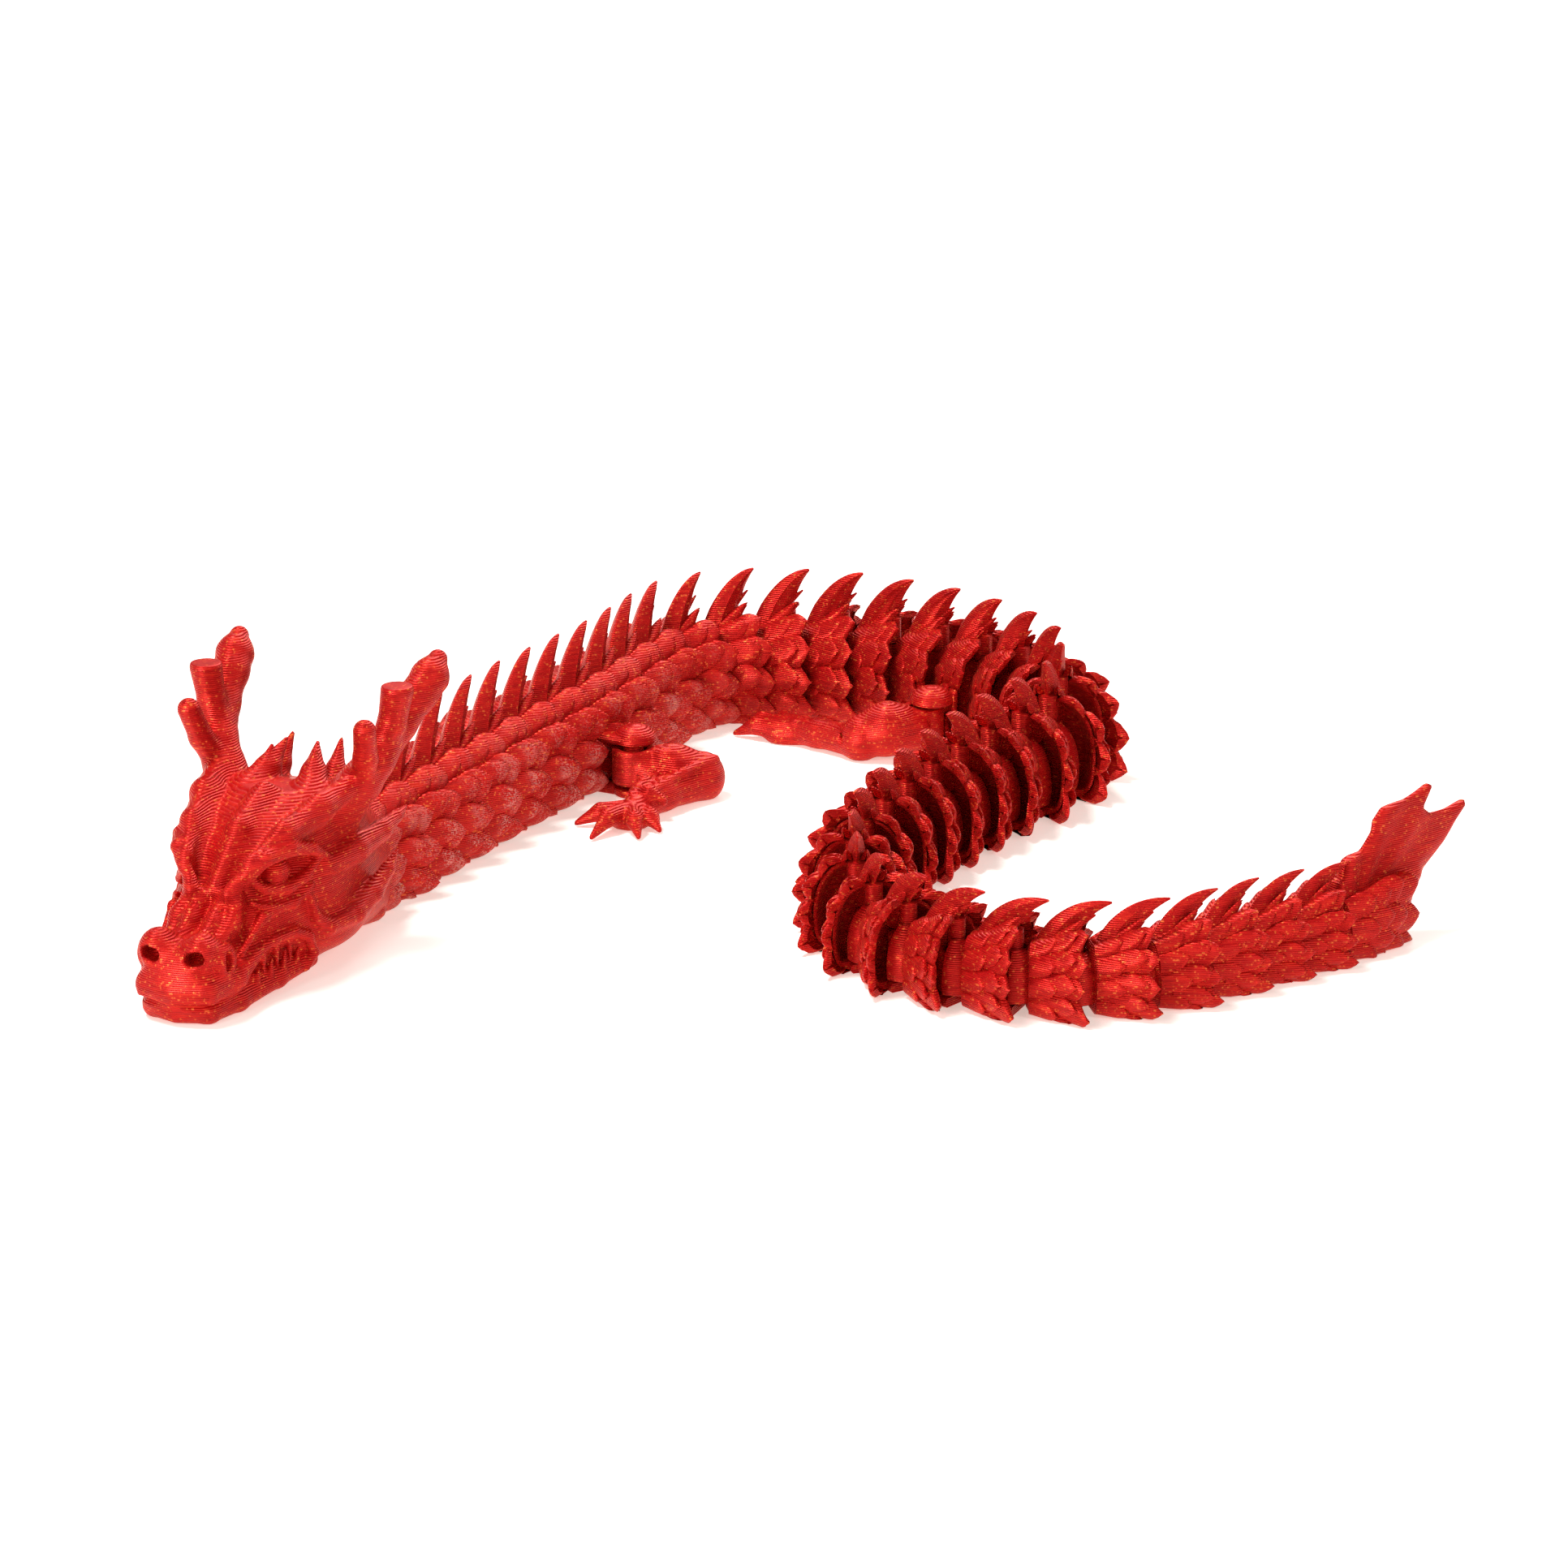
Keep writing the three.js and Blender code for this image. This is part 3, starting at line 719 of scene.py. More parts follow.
SKULL = [  # x, half width, top, bottom, roundness above and below the widest place
    [-37.4, 2.6, 6.2, 1.4, 2.3, 2.6],
    [-36.6, 3.6, 7.4, 0.5, 2.3, 3.2],
    [-34.5, 4.2, 7.9, 0.1, 2.4, 3.6],
    [-31.5, 4.4, 7.5, -0.3, 2.4, 3.4],
    [-28.5, 4.7, 9.2, -0.3, 2.6, 3.0],
    [-26.0, 5.3, 11.8, -0.3, 3.0, 2.8],
    [-24.0, 5.8, 14.0, -0.3, 3.3, 2.6],
    [-20.0, 6.8, 16.2, -0.3, 3.6, 2.4],
    [-16.0, 7.5, 17.4, -0.3, 3.6, 2.4],
    [-12.0, 7.9, 17.4, -0.3, 3.4, 2.4],
    [-7.0, 7.4, 16.0, -0.3, 2.8, 2.4],
    [-3.0, 6.5, 13.6, -0.3, 2.5, 2.8],
    [0.6, 5.8, 12.0, -0.3, 2.5, 3.2],
]


def skull(clay):
    """The plain skull: rounded sections that follow one another along x."""
    stations = np.array(SKULL)
    x = clay.axes[0]
    fine = np.linspace(stations[0, 0], stations[-1, 0], 200)
    kernel = np.hanning(13)
    kernel /= kernel.sum()
    columns = []
    for column in stations[:, 1:].T:
        padded = np.pad(np.interp(fine, stations[:, 0], column), len(kernel) // 2, mode="edge")
        smooth = np.convolve(padded, kernel, "valid")
        columns.append(np.interp(x, fine, smooth)[:, None, None])
    width, top, bottom, above, below = columns
    y = clay.axes[1][None, :, None]
    z = clay.axes[2][None, None, :]
    middle = mix(bottom, top, 0.32)
    upper = z > middle
    rise = np.where(upper, top - middle, middle - bottom)
    power = np.where(upper, above, below)
    reach = (np.abs(y / width) ** power + np.abs((z - middle) / rise) ** power) ** (1 / power)
    distance = (reach - 1) * np.minimum(width, rise)
    ends = np.maximum(stations[0, 0] - x, x - stations[-1, 0])[:, None, None]
    gap = np.maximum(1.6 - np.abs(distance - ends), 0) / 1.6
    clay.field = (np.maximum(distance, ends) + gap * gap * 0.4).astype(np.float32)


def muzzle(clay):
    clay.blob([-34.8, 2.35, 7.0], [2.2, 1.85, 1.9], blend=0.9)
    clay.chain([[-38, 0, 9.0, 1.1], [-33, 0, 9.4, 1.1], [-31.5, 0, 9.6, 0.5]], blend=0.7, carve=True)
    clay.chain([[-38.4, 2.1, 7.0, 0.75], [-35.4, 2.0, 6.6, 0.65]], blend=0.2, carve=True)
    clay.chain([[-38.4, 2.8, 7.15, 0.75], [-35.4, 2.6, 6.8, 0.65]], blend=0.2, carve=True)
    clay.blob([-33.6, 4.0, 6.0], [1.7, 1.05, 1.8], blend=0.5)
    clay.blob([-34.0, 4.9, 6.1], [0.55, 1.2, 1.05], blend=0.15, carve=True)
    upper_lip = [[-36.6, 0, 3.4, 1.2], [-35.6, 3.0, 3.4, 1.2], [-31.8, 4.3, 3.7, 1.0],
                 [-28.6, 4.6, 5.0, 0.8]]
    clay.chain(upper_lip, blend=0.8)
    lower_lip = [[-36.1, 0, 0.95, 0.95], [-35.0, 2.9, 0.95, 0.95], [-31, 4.1, 1.0, 0.9],
                 [-25, 5.2, 1.5, 0.9], [-20, 6.3, 2.0, 0.8]]
    clay.chain(lower_lip, blend=0.6)
    parting = [[-37.9, 0, 2.1, 0.3], [-36.6, 3.3, 2.1, 0.3], [-32.5, 5.2, 2.3, 0.32],
               [-28.8, 5.2, 3.2, 0.4]]
    clay.chain(parting, blend=0.15, carve=True)
    clay.chain([[-32.4, 1.2, 7.4, 0.6], [-30.2, 1.3, 8.5, 0.7], [-28.0, 1.0, 9.9, 0.6]], blend=0.9)
    clay.chain([[-31.6, 2.8, 7.2, 0.6], [-29.6, 3.0, 8.4, 0.7], [-27.8, 2.7, 10.0, 0.6]], blend=0.9)
    clay.chain([[-30.6, 4.4, 5.9, 0.3], [-27.0, 4.9, 8.3, 0.4], [-23.6, 5.6, 8.8, 0.3]], blend=0.6)


def mouth(clay):
    """The open part of the mouth, with its teeth and the fold at its corner."""
    clay.chain([[-29.2, 4.9, 3.4, 0.45], [-27.4, 5.5, 3.6, 0.9], [-25.0, 6.1, 3.8, 1.2],
                [-22.9, 6.7, 3.6, 1.1], [-22.0, 7.1, 3.0, 0.6]], blend=0.2, carve=True)
    for i, x in enumerate(np.linspace(-28.6, -22.6, 7)):
        y = np.interp(x, [-30, -21], [4.5, 6.4])
        gum = np.interp(x, [-30, -27, -24, -21], [4.0, 4.8, 5.2, 4.4])
        low = np.interp(x, [-30, -25, -21], [2.6, 2.5, 2.4])
        if i % 2:
            clay.chain([[x, y, gum, 0.44], [x - 0.2, y + 0.25, low + 0.5, 0.14]], blend=0.12)
        else:
            clay.chain([[x, y, low - 0.3, 0.46], [x + 0.15, y + 0.2, gum - 0.8, 0.15]], blend=0.12)
    clay.chain([[-28.4, 4.8, 5.2, 0.4], [-26.0, 5.5, 5.8, 0.5], [-23.0, 6.2, 5.8, 0.55],
                [-21.2, 6.8, 4.8, 0.55], [-20.5, 7.0, 2.9, 0.5], [-21.6, 6.7, 1.7, 0.4]], blend=0.3)


def eye(clay):
    clay.blob([-23.2, 5.9, 12.1], [3.7, 1.7, 1.5], blend=0.25, carve=True, yaw=24, pitch=-4)
    clay.blob([-23.4, 4.35, 11.9], [1.75, 1.55, 1.5], blend=0.1)
    clay.chain([[-23.9, 5.95, 12.9, 0.26], [-23.9, 6.0, 11.0, 0.26]], blend=0.1, carve=True)
    clay.chain([[-27.4, 3.4, 12.5, 0.5], [-25.6, 4.8, 13.9, 0.75], [-22.8, 5.9, 14.2, 0.85],
                [-19.8, 6.7, 13.4, 0.7], [-17.6, 7.2, 12.0, 0.4]], blend=0.25)
    clay.chain([[-27.4, 3.4, 12.3, 0.35], [-25.9, 4.5, 10.8, 0.5], [-23.2, 5.7, 10.2, 0.6],
                [-20.8, 6.5, 10.8, 0.5], [-18.8, 7.0, 12.2, 0.35]], blend=0.25)
    clay.chain([[-27.6, 4.1, 9.8, 0.3], [-25.4, 5.1, 8.9, 0.45], [-22.6, 6.1, 8.7, 0.5],
                [-20.2, 6.8, 9.8, 0.3]], blend=0.4)
    clay.chain([[-27.0, 4.3, 9.9, 0.2], [-24.4, 5.9, 9.45, 0.25], [-21.6, 6.8, 9.5, 0.2]],
               blend=0.3, carve=True)


def brow(clay):
    clay.chain([[-28.6, 2.0, 10.9, 0.6], [-26.2, 3.5, 13.2, 0.9], [-22.0, 4.9, 15.3, 1.15],
                [-17.0, 6.3, 16.6, 1.2], [-12.4, 7.1, 17.4, 1.3]], blend=1.3)
    clay.chain([[-27.5, 0, 10.9, 0.6], [-22.0, 0, 15.3, 0.8], [-16.5, 0, 17.4, 0.9]], blend=1.2)
    clay.chain([[-26.4, 2.2, 12.7, 0.5], [-22.0, 3.0, 16.4, 0.5], [-17.0, 4.3, 18.3, 0.4]],
               blend=1.4, carve=True)


def cheek(clay):
    """The cheek and jaw muscles, the swirl round them and the fins behind."""
    clay.blob([-16.0, 6.2, 8.8], [3.6, 1.7, 3.0], blend=1.0)
    clay.blob([-14.0, 6.2, 4.4], [5.6, 2.1, 2.6], blend=1.0)
    clay.chain([[-20.6, 7.5, 10.4, 0.4], [-18.8, 8.3, 7.6, 0.8], [-15.2, 9.1, 7.5, 0.95],
                [-10.4, 9.6, 9.0, 0.9], [-5.6, 10.0, 10.1, 0.7]], blend=0.35, carve=True)
    clay.chain([[-20.6, 6.7, 8.9, 0.35], [-19.9, 7.0, 6.4, 0.6], [-18.0, 7.5, 4.9, 0.8],
                [-13.6, 8.0, 5.0, 1.2], [-10.2, 8.4, 6.0, 1.1], [-7.4, 8.8, 7.6, 0.7],
                [-5.6, 9.0, 9.0, 0.2]], blend=0.35)
    clay.chain([[-17.2, 6.6, 10.8, 1.4], [-12.4, 7.7, 11.2, 1.45], [-8.2, 8.6, 11.9, 1.05],
                [-5.4, 9.0, 12.6, 0.6], [-3.8, 9.2, 13.1, 0.2]], blend=0.35)
    clay.chain([[-14.8, 8.8, 13.2, 0.4], [-9.6, 9.6, 13.5, 0.4], [-4.6, 9.9, 14.2, 0.3]],
               blend=0.4, carve=True)


def antler(clay):
    clay.chain([[-12.2, 5.4, 14.5, 2.7], [-10.4, 7.5, 17.4, 2.0], [-9.2, 8.6, 19.4, 1.8],
                [-5.8, 9.7, 22.2, 1.55], [-2.8, 10.4, 24.6, 1.75], [-1.0, 10.8, 26.0, 1.9]], blend=0.8)
    clay.chain([[-1.0, 10.8, 26.0, 1.85], [0.4, 11.0, 27.4, 1.0]], blend=0.5)
    clay.chain([[-8.6, 8.7, 19.8, 1.5], [-8.0, 9.9, 23.0, 1.4], [-7.9, 10.5, 26.5, 1.65]], blend=0.5)
    clay.box([-10.6, 7, 27.0], [-5.8, 13, 30], blend=0.25, carve=True)
    clay.chain([[-10.4, 7.6, 17.0, 1.5], [-12.2, 9.0, 20.6, 1.2], [-13.5, 9.6, 23.8, 1.15]], blend=0.5)


def crown(clay):
    clay.chain([[-13.4, 3.4, 15.6, 2.2], [-10.6, 2.5, 17.8, 1.25], [-8.0, 1.7, 20.1, 0.22]], blend=0.6)
    clay.chain([[-11.6, 2.6, 17.6, 0.9], [-9.9, 2.4, 19.8, 0.25]], blend=0.3)
    clay.chain([[-9.0, 3.4, 14.8, 1.9], [-6.8, 3.0, 17.0, 1.0], [-4.7, 2.7, 19.6, 0.22]], blend=0.5)
    clay.chain([[-8.4, 5.2, 14.0, 1.5], [-6.2, 5.4, 16.0, 0.8], [-4.2, 5.5, 17.6, 0.2]], blend=0.5)


def head():
    """The head, which is hollowed for the first segment's ring, with scales on its nape."""
    clay = Clay([-38.4, 0, -0.6], [2.2, 14, 30], CLAY_STEP)
    skull(clay)
    for sculpt in (muzzle, brow, cheek, mouth, eye, antler, crown):
        sculpt(clay)
    pin, _, ring = joint_radii(0)
    rear = half_width_at(0)
    roof = HEIGHT_RATIO * rear - ROOF
    clay.box([-ring - CLEARANCE, -1, FLOOR_PLATE], [3, rear - 1.6, roof - 1.2], blend=0.8, carve=True)
    clay.cut_below()
    clay.mirror()
    shape = Shape()
    shape.add(*clay.mesh())
    shape.add(*turned([[pin, FLOOR_PLATE / 2], [pin, roof]]))
    nape = (
        [-7, 0.6, 2],
        [rear * 1.02, rear * 0.93, rear * 0.96],
        [rear * HEIGHT_RATIO * 1.05, rear * HEIGHT_RATIO * 0.94, rear * HEIGHT_RATIO * 0.96],
    )
    cup = Cup(rear, HEIGHT_RATIO * rear, 0, nape)
    rows = [  # root, tip, centre of the first scale, number of scales
        (-6.0, -1.9, 0.12, 4),
        (-4.2, -0.2, 0.02, 5),
        (-2.4, 1.75, 0.13, 4),
    ]
    for root, tip, first, number in rows:
        for i in range(number):
            centre = first + (0.95 - first) / (number - 0.25) * i
            shape.add_both_sides(*scale(cup, root, tip, centre, 0.145, 0.4, 0.62, 0.4 * (1 - centre)))
    return shape.piece("dragon_head", Place(hinge_point(1), heading_of(1) + math.radians(HEAD_TURN)))


# ------------ legs

def leg_socket(clay):
    """The room that a leg leaves round its hinge, its ring and its bore."""
    outer = LEG_PIN_RADIUS + CLEARANCE + 0.85
    bottom = LEG_PLATE + CLEARANCE
    clay.box([-3.2, -4, -1], [3.2, 1.75, 9], blend=0.3, carve=True)
    clay.drum(0, 0, outer, bottom, LEG_RING_TOP, blend=0.9)
    clay.drum(0, 0, LEG_PIN_RADIUS + CLEARANCE, -1, 9, carve=True)


def toe(clay, root, knuckle, tip):
    clay.chain([[*root, 1.15], [*knuckle, 0.95], [*tip, 0.28]], blend=0.3)
    ridge = [
        [root[0], root[1], root[2] + 0.7, 0.4],
        [knuckle[0], knuckle[1], knuckle[2] + 0.75, 0.35],
        [tip[0], tip[1], tip[2] + 0.15, 0.15],
    ]
    clay.chain(ridge, blend=0.2)


def front_leg_clay():
    clay = Clay([-18, -4, -0.6], [6.5, 11, 8], CLAY_STEP)
    clay.chain([[0.2, 2.2, 2.7, 2.2], [1.4, 4.6, 2.9, 2.65], [2.2, 6.6, 2.6, 2.3]], blend=0.8)
    clay.blob([3.0, 7.3, 2.2], [1.9, 1.9, 2.5], blend=1.0)
    clay.chain([[2.2, 7.2, 1.9, 2.0], [-3.7, 5.6, 1.9, 1.7], [-8.6, 4.8, 1.4, 1.5]], blend=0.8)
    clay.blob([1.0, 4.1, 4.9], [2.2, 1.7, 1.0], blend=0.15, yaw=60)
    clay.chain([[3.0, 8.3, 4.3, 0.5], [-1.5, 7.0, 3.9, 0.5], [-6.5, 5.6, 3.0, 0.4]], blend=0.4)
    clay.chain([[-1.0, 4.0, 3.0, 0.5], [-4.5, 3.8, 3.2, 0.6], [-7.8, 3.9, 2.8, 0.4]], blend=0.5)
    clay.chain([[-6.4, 3.6, 2.6, 0.7], [-6.9, 5.6, 3.0, 0.8], [-6.6, 7.0, 2.2, 0.6]], blend=0.4)
    clay.blob([-9.6, 4.6, 1.0], [2.4, 2.5, 1.5], blend=0.8)
    toe(clay, [-9.6, 3.4, 1.4], [-11.2, 1.8, 1.5], [-12.6, -0.3, 0.4])
    toe(clay, [-10.4, 4.3, 1.5], [-13.0, 3.7, 1.7], [-16.0, 3.3, 0.4])
    toe(clay, [-10.2, 5.3, 1.5], [-12.0, 6.4, 1.6], [-13.6, 7.7, 0.4])
    toe(clay, [-8.8, 5.8, 1.3], [-9.8, 7.2, 1.4], [-10.6, 8.7, 0.4])
    leg_socket(clay)
    clay.cut_below()
    return clay


def hind_leg_clay():
    clay = Clay([-21, -4, -0.6], [6.5, 11, 8], CLAY_STEP)
    clay.chain([[0.2, 2.4, 3.0, 2.3], [-1.4, 4.4, 3.3, 2.9], [-3.2, 6.0, 2.6, 2.4]], blend=0.8)
    clay.blob([-3.6, 6.6, 2.2], [2.0, 1.9, 2.3], blend=0.8)
    clay.chain([[-3.8, 6.4, 1.9, 1.9], [-9.5, 6.2, 1.7, 1.5], [-13.4, 6.1, 1.3, 1.5]], blend=0.8)
    clay.chain([[-5.2, 3.6, 0, 0.5], [-4.7, 5.6, 4.6, 0.3], [-4.9, 8.6, 2.0, 0.3]], blend=0.4, carve=True)
    clay.blob([-0.9, 4.1, 5.2], [2.2, 1.7, 0.9], blend=0.15, yaw=115)
    for across in (-0.9, 0.0, 0.9):
        clay.chain([[-7.5, 6.2 + across * 0.6, 2.9, 0.35], [-12.0, 6.1 + across, 2.6, 0.4],
                    [-15.6, 6.0 + across * 1.6, 2.0, 0.4]], blend=0.3)
    clay.blob([-14.2, 6.0, 1.0], [2.4, 2.3, 1.6], blend=0.8)
    toe(clay, [-14.2, 5.0, 1.4], [-16.0, 3.8, 1.5], [-17.8, 2.7, 0.4])
    toe(clay, [-14.8, 6.0, 1.5], [-17.4, 5.8, 1.6], [-20.0, 5.6, 0.4])
    toe(clay, [-14.2, 7.0, 1.4], [-16.8, 7.6, 1.5], [-19.2, 8.2, 0.4])
    leg_socket(clay)
    clay.cut_below()
    return clay


def leg(name, clay, side, n, turn):
    """A leg on segment n, from the clay of a right one. side is 1 on the right, -1 on the left."""
    heading = heading_of(n)
    points, faces = clay.mesh()
    points[:, 1] += LEG_SPLAY * np.maximum(-points[:, 0] - LEG_SPLAY_START, 0)
    if side < 0:
        points = points * [1, -1, 1]
        faces = [group[:, ::-1] for group in faces]
    shape = Shape()
    shape.add(points, faces)
    place = Place(HINGE[f"{name}_hinge"], heading + side * math.radians(turn))
    return shape.piece(f"{name}_skin", place)


# ------------ tail tuft

FAN_OUTLINE = [  # x, z
    [2.4, 3.0], [1.2, 6.0], [1.9, 7.9], [2.6, 8.3], [3.2, 10.0], [5.4, 10.5], [6.8, 12.0], [6.9, 13.2],
    [8.3, 14.4], [11.2, 14.7], [14.7, 15.7], [15.6, 15.2], [14.2, 13.2], [15.2, 12.5], [17.6, 12.4],
    [20.5, 12.8], [20.6, 11.8], [19.0, 10.3], [17.5, 8.4], [14.2, 5.6], [10.4, 3.0],
]


def distance_to_outline(x, z, outline):
    """Signed distance in the plane to a closed outline, less than nought inside."""
    best = np.full(np.broadcast(x, z).shape, 99.0)
    sign = np.ones_like(best)
    for (ax, az), (bx, bz) in zip(outline, outline[1:] + outline[:1]):
        ex, ez = bx - ax, bz - az
        px, pz = x - ax, z - az
        t = np.clip((px * ex + pz * ez) / (ex * ex + ez * ez), 0, 1)
        best = np.minimum(best, np.hypot(px - t * ex, pz - t * ez))
        spans = (az > z) != (bz > z)
        flips = spans & (px < ex * pz / (ez if ez else 1e-9))
        sign = np.where(flips, -sign, sign)
    return best * sign


def fan(clay):
    """The two-lobed fan: thick at its root, hollowed and ribbed towards its edge."""
    x, y, z = clay.axes[0][:, None], clay.axes[1], clay.axes[2][None, :]
    plane = distance_to_outline(x, z, FAN_OUTLINE)
    root_x, root_z = 2.0, 1.0
    spread = np.degrees(np.arctan2(z - root_z, x - root_x))
    reach = np.hypot(x - root_x, z - root_z)
    ribs = 0.22 * np.cos(np.radians(spread * 24)) * ease((reach - 4) / 4)
    thick = 0.55 + 1.1 * ease((11 - reach) / 9) + ribs * 0.6
    curl = 0.5 * ease((reach - 6) / 8) * np.cos(np.radians((spread - 45) * 3.2))
    across = np.abs(y[None, :, None] + curl[:, None, :]) - thick[:, None, :]
    distance = plane[:, None, :] + 0.25
    gap = np.maximum(0.7 - np.abs(distance - across), 0) / 0.7
    solid = np.maximum(distance, across) + gap * gap * 0.175
    clay.merge((slice(None),) * 3, solid, 0.6, False)


def tail_tuft():
    half_width = TAIL_HALF_WIDTH
    height = HEIGHT_RATIO * half_width
    clay = Clay([0.5, -4.6, -0.6], [22.5, 4.6, 17.5], CLAY_STEP)
    clay.chain([[3.2, 0, 2.9, 2.7], [6.0, 0, 3.5, 3.1], [9.5, 0, 4.6, 2.5], [13.0, 0, 6.2, 1.2]], blend=1.0)
    fan(clay)
    clay.box([-1, -6, -1], [1.2, 6, 8], blend=0.2, carve=True)
    clay.cut_below()
    shape = Shape()
    shape.add(*clay.mesh())
    cone = [2, 5, 8, 12, 16], [2.6, 3.1, 2.9, 1.9, 0.7], [6.6, 7.2, 7.8, 8.6, 9.6]
    cup = Cup(half_width, height, PITCH, cone)
    rows = [  # root, tip, centre of the first scale, number of scales
        (2.0, 5.2, 0.1, 3),
        (3.6, 7.4, 0.02, 4),
        (5.8, 9.6, 0.1, 3),
        (8.0, 12.0, 0.02, 3),
    ]
    for root, tip, first, number in rows:
        for i in range(number):
            centre = first + 0.86 / number * i
            shape.add_both_sides(*scale(cup, root, tip, centre, 0.17, 0.35, 0.55, 0))
    front_ring(shape, SEGMENTS + 1)
    heading = heading_of(SEGMENTS) + math.radians(TAIL_TURN)
    return shape.piece("tail_tuft_fan", Place(hinge_point(SEGMENTS + 1), heading))


# ------------ material

def set_inputs(node, values):
    for socket, value in values.items():
        node.inputs[socket].default_value = value


def silk_plastic():
    """Silk red printed plastic: fine level layer lines, painted gold highlights as glints in the colour,
    pale scuffs where worn.
    """
    material = bpy.data.materials.new("silk_red_plastic")
    material.use_nodes = True
    nodes, links = material.node_tree.nodes, material.node_tree.links
    nodes.clear()

    def node(kind, **settings):
        made = nodes.new(kind)
        for key, value in settings.items():
            setattr(made, key, value)
        return made

    def math_node(operation, first, second=None):
        made = node("ShaderNodeMath", operation=operation)
        for socket, value in zip(made.inputs, (first, second)):
            if value is None:
                continue
            if isinstance(value, (int, float)):
                socket.default_value = value
            else:
                links.new(value, socket)
        return made.outputs[0]

    def ramp(source, stops):
        made = node("ShaderNodeValToRGB")
        while len(made.color_ramp.elements) < len(stops):
            made.color_ramp.elements.new(0.5)
        for element, (place, colour) in zip(made.color_ramp.elements, stops):
            element.position = place
            element.color = (*colour, 1)
        links.new(source, made.inputs[0])
        return made.outputs[0]

    def noise(vector, size, detail, roughness):
        made = node("ShaderNodeTexNoise")
        set_inputs(made, {"Scale": size, "Detail": detail, "Roughness": roughness})
        links.new(vector, made.inputs["Vector"])
        return made.outputs["Fac"]

    def tinted(factor, base, colour):
        made = node("ShaderNodeMix", data_type="RGBA")
        links.new(factor, made.inputs["Factor"])
        links.new(base, made.inputs["A"])
        made.inputs["B"].default_value = (*colour, 1)
        return made.outputs["Result"]

    def bump(height, strength, distance):
        made = node("ShaderNodeBump")
        set_inputs(made, {"Strength": strength, "Distance": distance})
        links.new(height, made.inputs["Height"])
        return made

    layer_height = 0.0002
    place = node("ShaderNodeTexCoord").outputs["Object"]
    split = node("ShaderNodeSeparateXYZ")
    links.new(place, split.inputs[0])
    layers = math_node("DIVIDE", split.outputs["Z"], layer_height)
    layer_number = math_node("FLOOR", layers)
    bead = math_node("SINE", math_node("MULTIPLY", math_node("FRACT", layers), math.pi))

    level = node("ShaderNodeCombineXYZ")
    links.new(split.outputs["X"], level.inputs[0])
    links.new(split.outputs["Y"], level.inputs[1])
    links.new(math_node("MULTIPLY", layer_number, 0.013), level.inputs[2])
    streak = noise(level.outputs[0], 420, 3.0, 0.6)
    # Painted highlights: a noise along the layers that picks out sparse glints
    painted_highlight_noise = noise(level.outputs[0], 2600, 1.0, 0.5)
    mottle = noise(place, 170, 3.0, 0.6)
    grit = noise(place, 5200, 2.0, 0.6)

    base = ramp(streak, [
        (0.30, (0.42, 0.003, 0.007)),
        (0.55, (0.56, 0.008, 0.009)),
        (0.75, (0.66, 0.024, 0.011)),
    ])
    # Painted highlights: the glints are mixed into the base colour as gold-orange, in place of glints from
    # the lamps
    painted_highlight_mask = ramp(painted_highlight_noise, [(0.62, (0, 0, 0)), (0.72, (1, 1, 1))])
    base_with_painted_highlights = tinted(math_node("MULTIPLY", painted_highlight_mask, 0.55), base, (0.95, 0.22, 0.05))

    worn = node("ShaderNodeAttribute", attribute_name="wear").outputs["Fac"]
    spots = math_node("ADD", math_node("MULTIPLY", mottle, 0.6), math_node("MULTIPLY", grit, 0.7))
    patch = ramp(spots, [(0.64, (0, 0, 0)), (0.73, (1, 1, 1))])
    scuff = math_node("MULTIPLY", math_node("MULTIPLY", worn, patch), 0.75)
    scuffed = tinted(scuff, base_with_painted_highlights, (0.88, 0.52, 0.46))

    grain = math_node("ADD", math_node("MULTIPLY", mottle, 0.8), math_node("MULTIPLY", grit, 0.4))
    lines = bump(bead, 0.8, 0.00009)
    rough = bump(grain, 0.35, 0.00008)
    links.new(lines.outputs[0], rough.inputs["Normal"])

    shader = node("ShaderNodeBsdfPrincipled")
    links.new(scuffed, shader.inputs["Base Color"])
    links.new(rough.outputs[0], shader.inputs["Normal"])
    links.new(math_node("ADD", math_node("MULTIPLY", streak, 0.22), 0.22), shader.inputs["Roughness"])
    set_inputs(shader, {
        "Metallic": 0.4,
        "Specular IOR Level": 0.5,
        "Specular Tint": (1.0, 0.42, 0.26, 1),
        "Sheen Weight": 0.05,
        "Sheen Roughness": 0.4,
        "Sheen Tint": (1.0, 0.35, 0.2, 1),
    })
    output = node("ShaderNodeOutputMaterial")
    links.new(shader.outputs[0], output.inputs[0])
    return material


# ------------ studio

def floor():
    mesh = bpy.data.meshes.new("studio_floor")
    half = 4.0
    corners = [(-half, -half, 0), (half, -half, 0), (half, half, 0), (-half, half, 0)]
    mesh.from_pydata(corners, [], [(0, 1, 2, 3)])
    thing = bpy.data.objects.new("studio_floor", mesh)
    thing.location.z = -0.00002
    material = bpy.data.materials.new("white_paper")
    material.use_nodes = True
    shader = material.node_tree.nodes["Principled BSDF"]
    set_inputs(shader, {
        "Base Color": (0.93, 0.925, 0.915, 1),
        "Roughness": 0.75,
        "Specular IOR Level": 0.15,
        "Emission Color": (1.0, 0.90, 0.80, 1),
        "Emission Strength": FLOOR_GLOW,
    })
    mesh.materials.append(material)
    bpy.context.scene.collection.objects.link(thing)


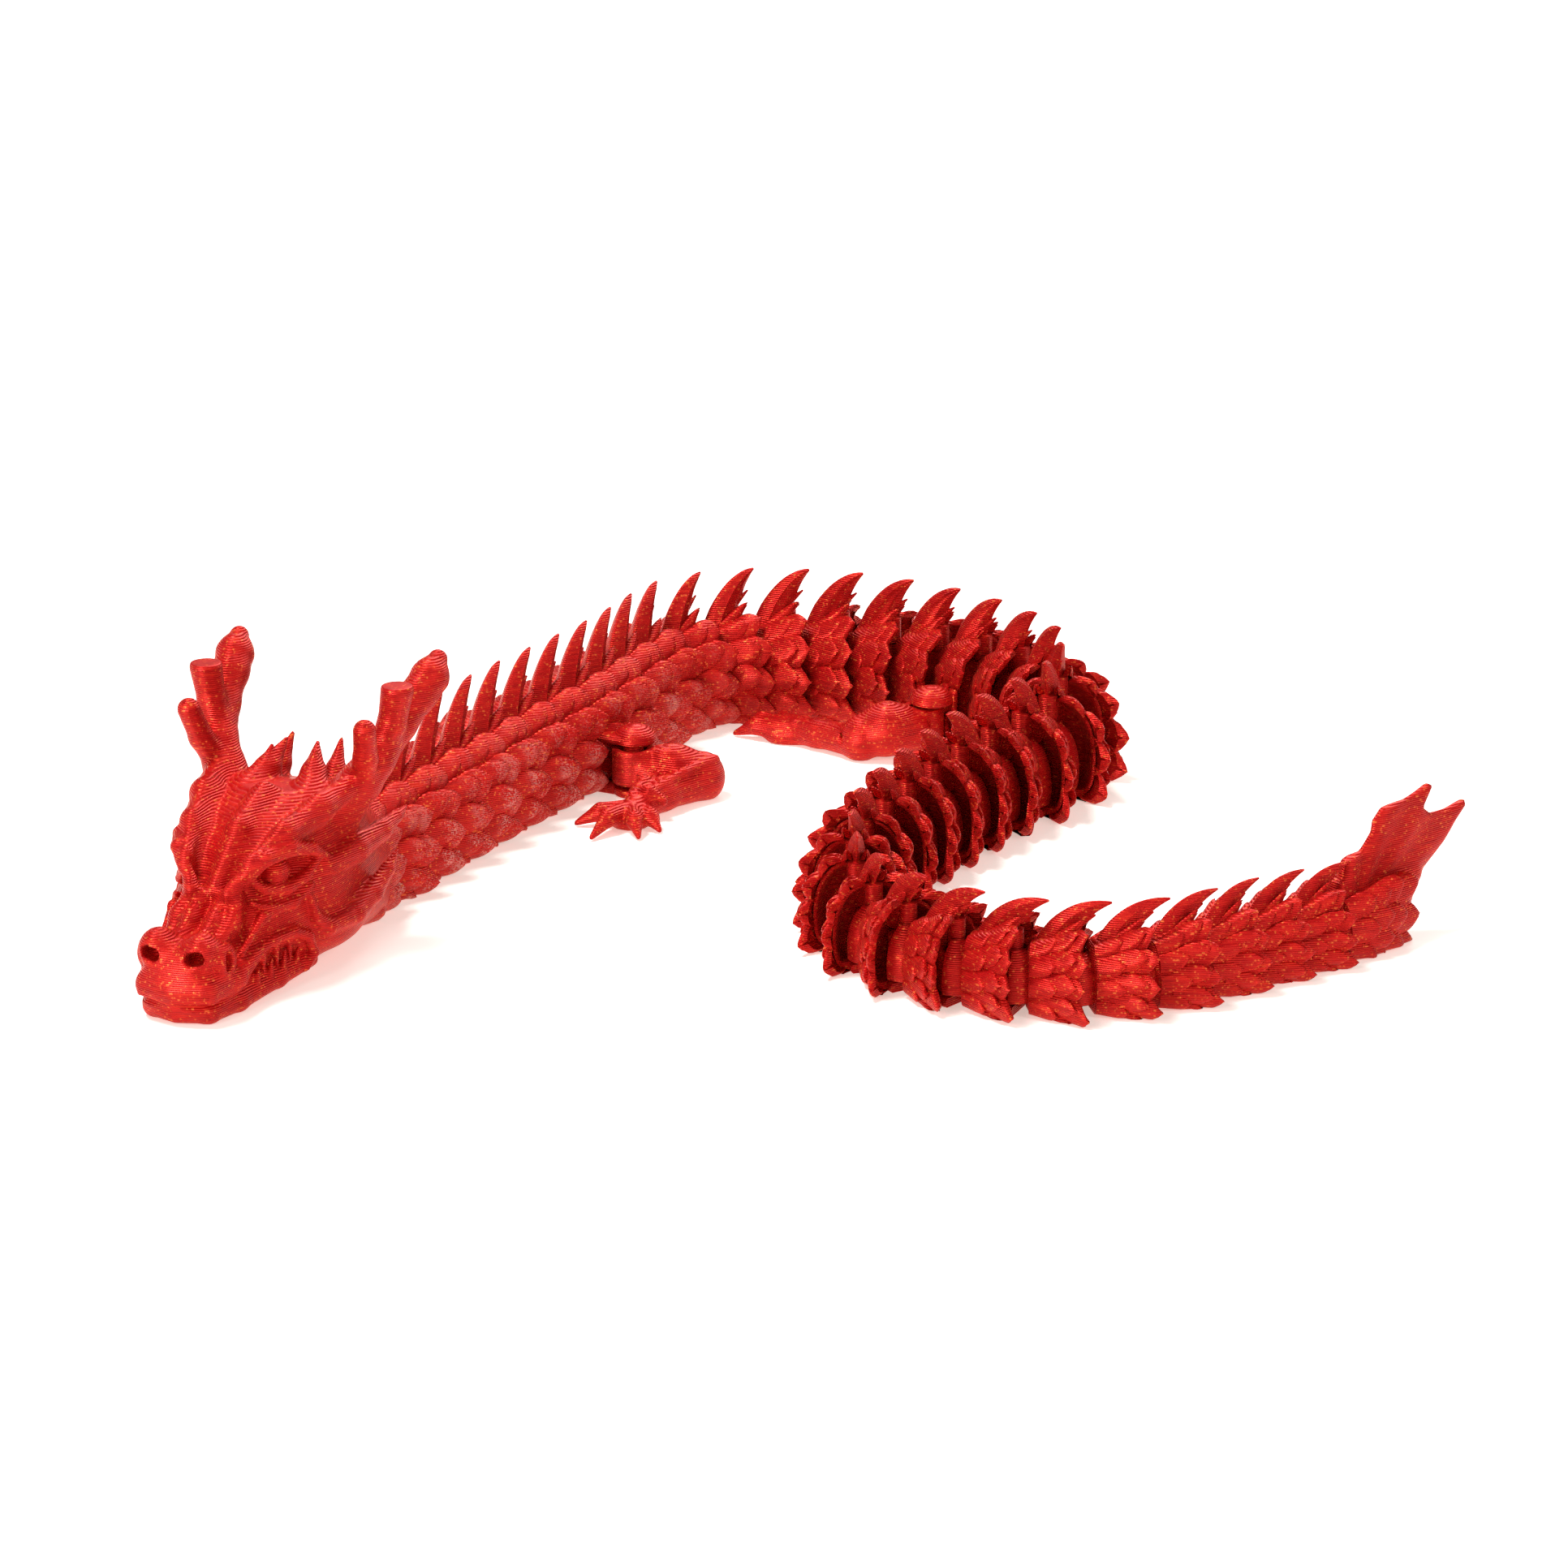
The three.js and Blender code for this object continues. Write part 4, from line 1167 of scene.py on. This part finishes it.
def softbox(name, place, size, power, colour):
    light = bpy.data.lights.new(name, "AREA")
    light.shape = "DISK"
    light.size = size
    light.energy = power
    light.color = colour
    thing = bpy.data.objects.new(name, light)
    thing.location = place
    towards_origin = -Vector(place)
    thing.rotation_euler = towards_origin.to_track_quat("-Z", "Y").to_euler()
    bpy.context.scene.collection.objects.link(thing)


def studio():
    floor()
    world = bpy.data.worlds.new("studio_world")
    bpy.context.scene.world = world
    world.use_nodes = True
    background = world.node_tree.nodes["Background"]
    set_inputs(background, {"Color": (1, 0.985, 0.965, 1), "Strength": 0.28})
    for light in LIGHTS:
        softbox(*light)
    bpy.context.scene.view_settings.view_transform = "Standard"


def camera():
    lens = bpy.data.cameras.new("camera")
    lens.lens = CAMERA_LENS
    lens.sensor_width = 36
    lens.clip_start = 0.01
    lens.clip_end = 20
    thing = bpy.data.objects.new("camera", lens)
    pitch = math.radians(CAMERA_PITCH)
    aim = Vector(HINGE["head_hinge"]) + Vector(CAMERA_AIM)
    forward = Vector((0, math.cos(pitch), -math.sin(pitch)))
    thing.location = aim - forward * CAMERA_DISTANCE
    thing.rotation_euler = (math.pi / 2 - pitch, 0, 0)
    bpy.context.scene.collection.objects.link(thing)
    bpy.context.scene.camera = thing


# ------------ the whole dragon

silk = silk_plastic()


def dress(thing, node):
    """Gives a piece its material and puts it in the place of its CAD node."""
    thing.data.materials.append(silk)
    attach(thing, node)
    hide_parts(node)


dress(head(), "head")
for number in range(1, SEGMENTS + 1):
    dress(segment(number), f"body_segment_{number:02d}")
dress(tail_tuft(), "tail_tuft")

front_clay = front_leg_clay()
hind_clay = hind_leg_clay()
for name, clay, side, n, turn in (
    ("front_right_leg", front_clay, 1, SHOULDER_SEGMENT, 0),
    ("front_left_leg", front_clay, -1, SHOULDER_SEGMENT, 0),
    ("hind_right_leg", hind_clay, 1, HIP_SEGMENT, HIND_RIGHT_TURN),
    ("hind_left_leg", hind_clay, -1, HIP_SEGMENT, 0),
):
    dress(leg(name, clay, side, n, turn), name)

studio()
camera()
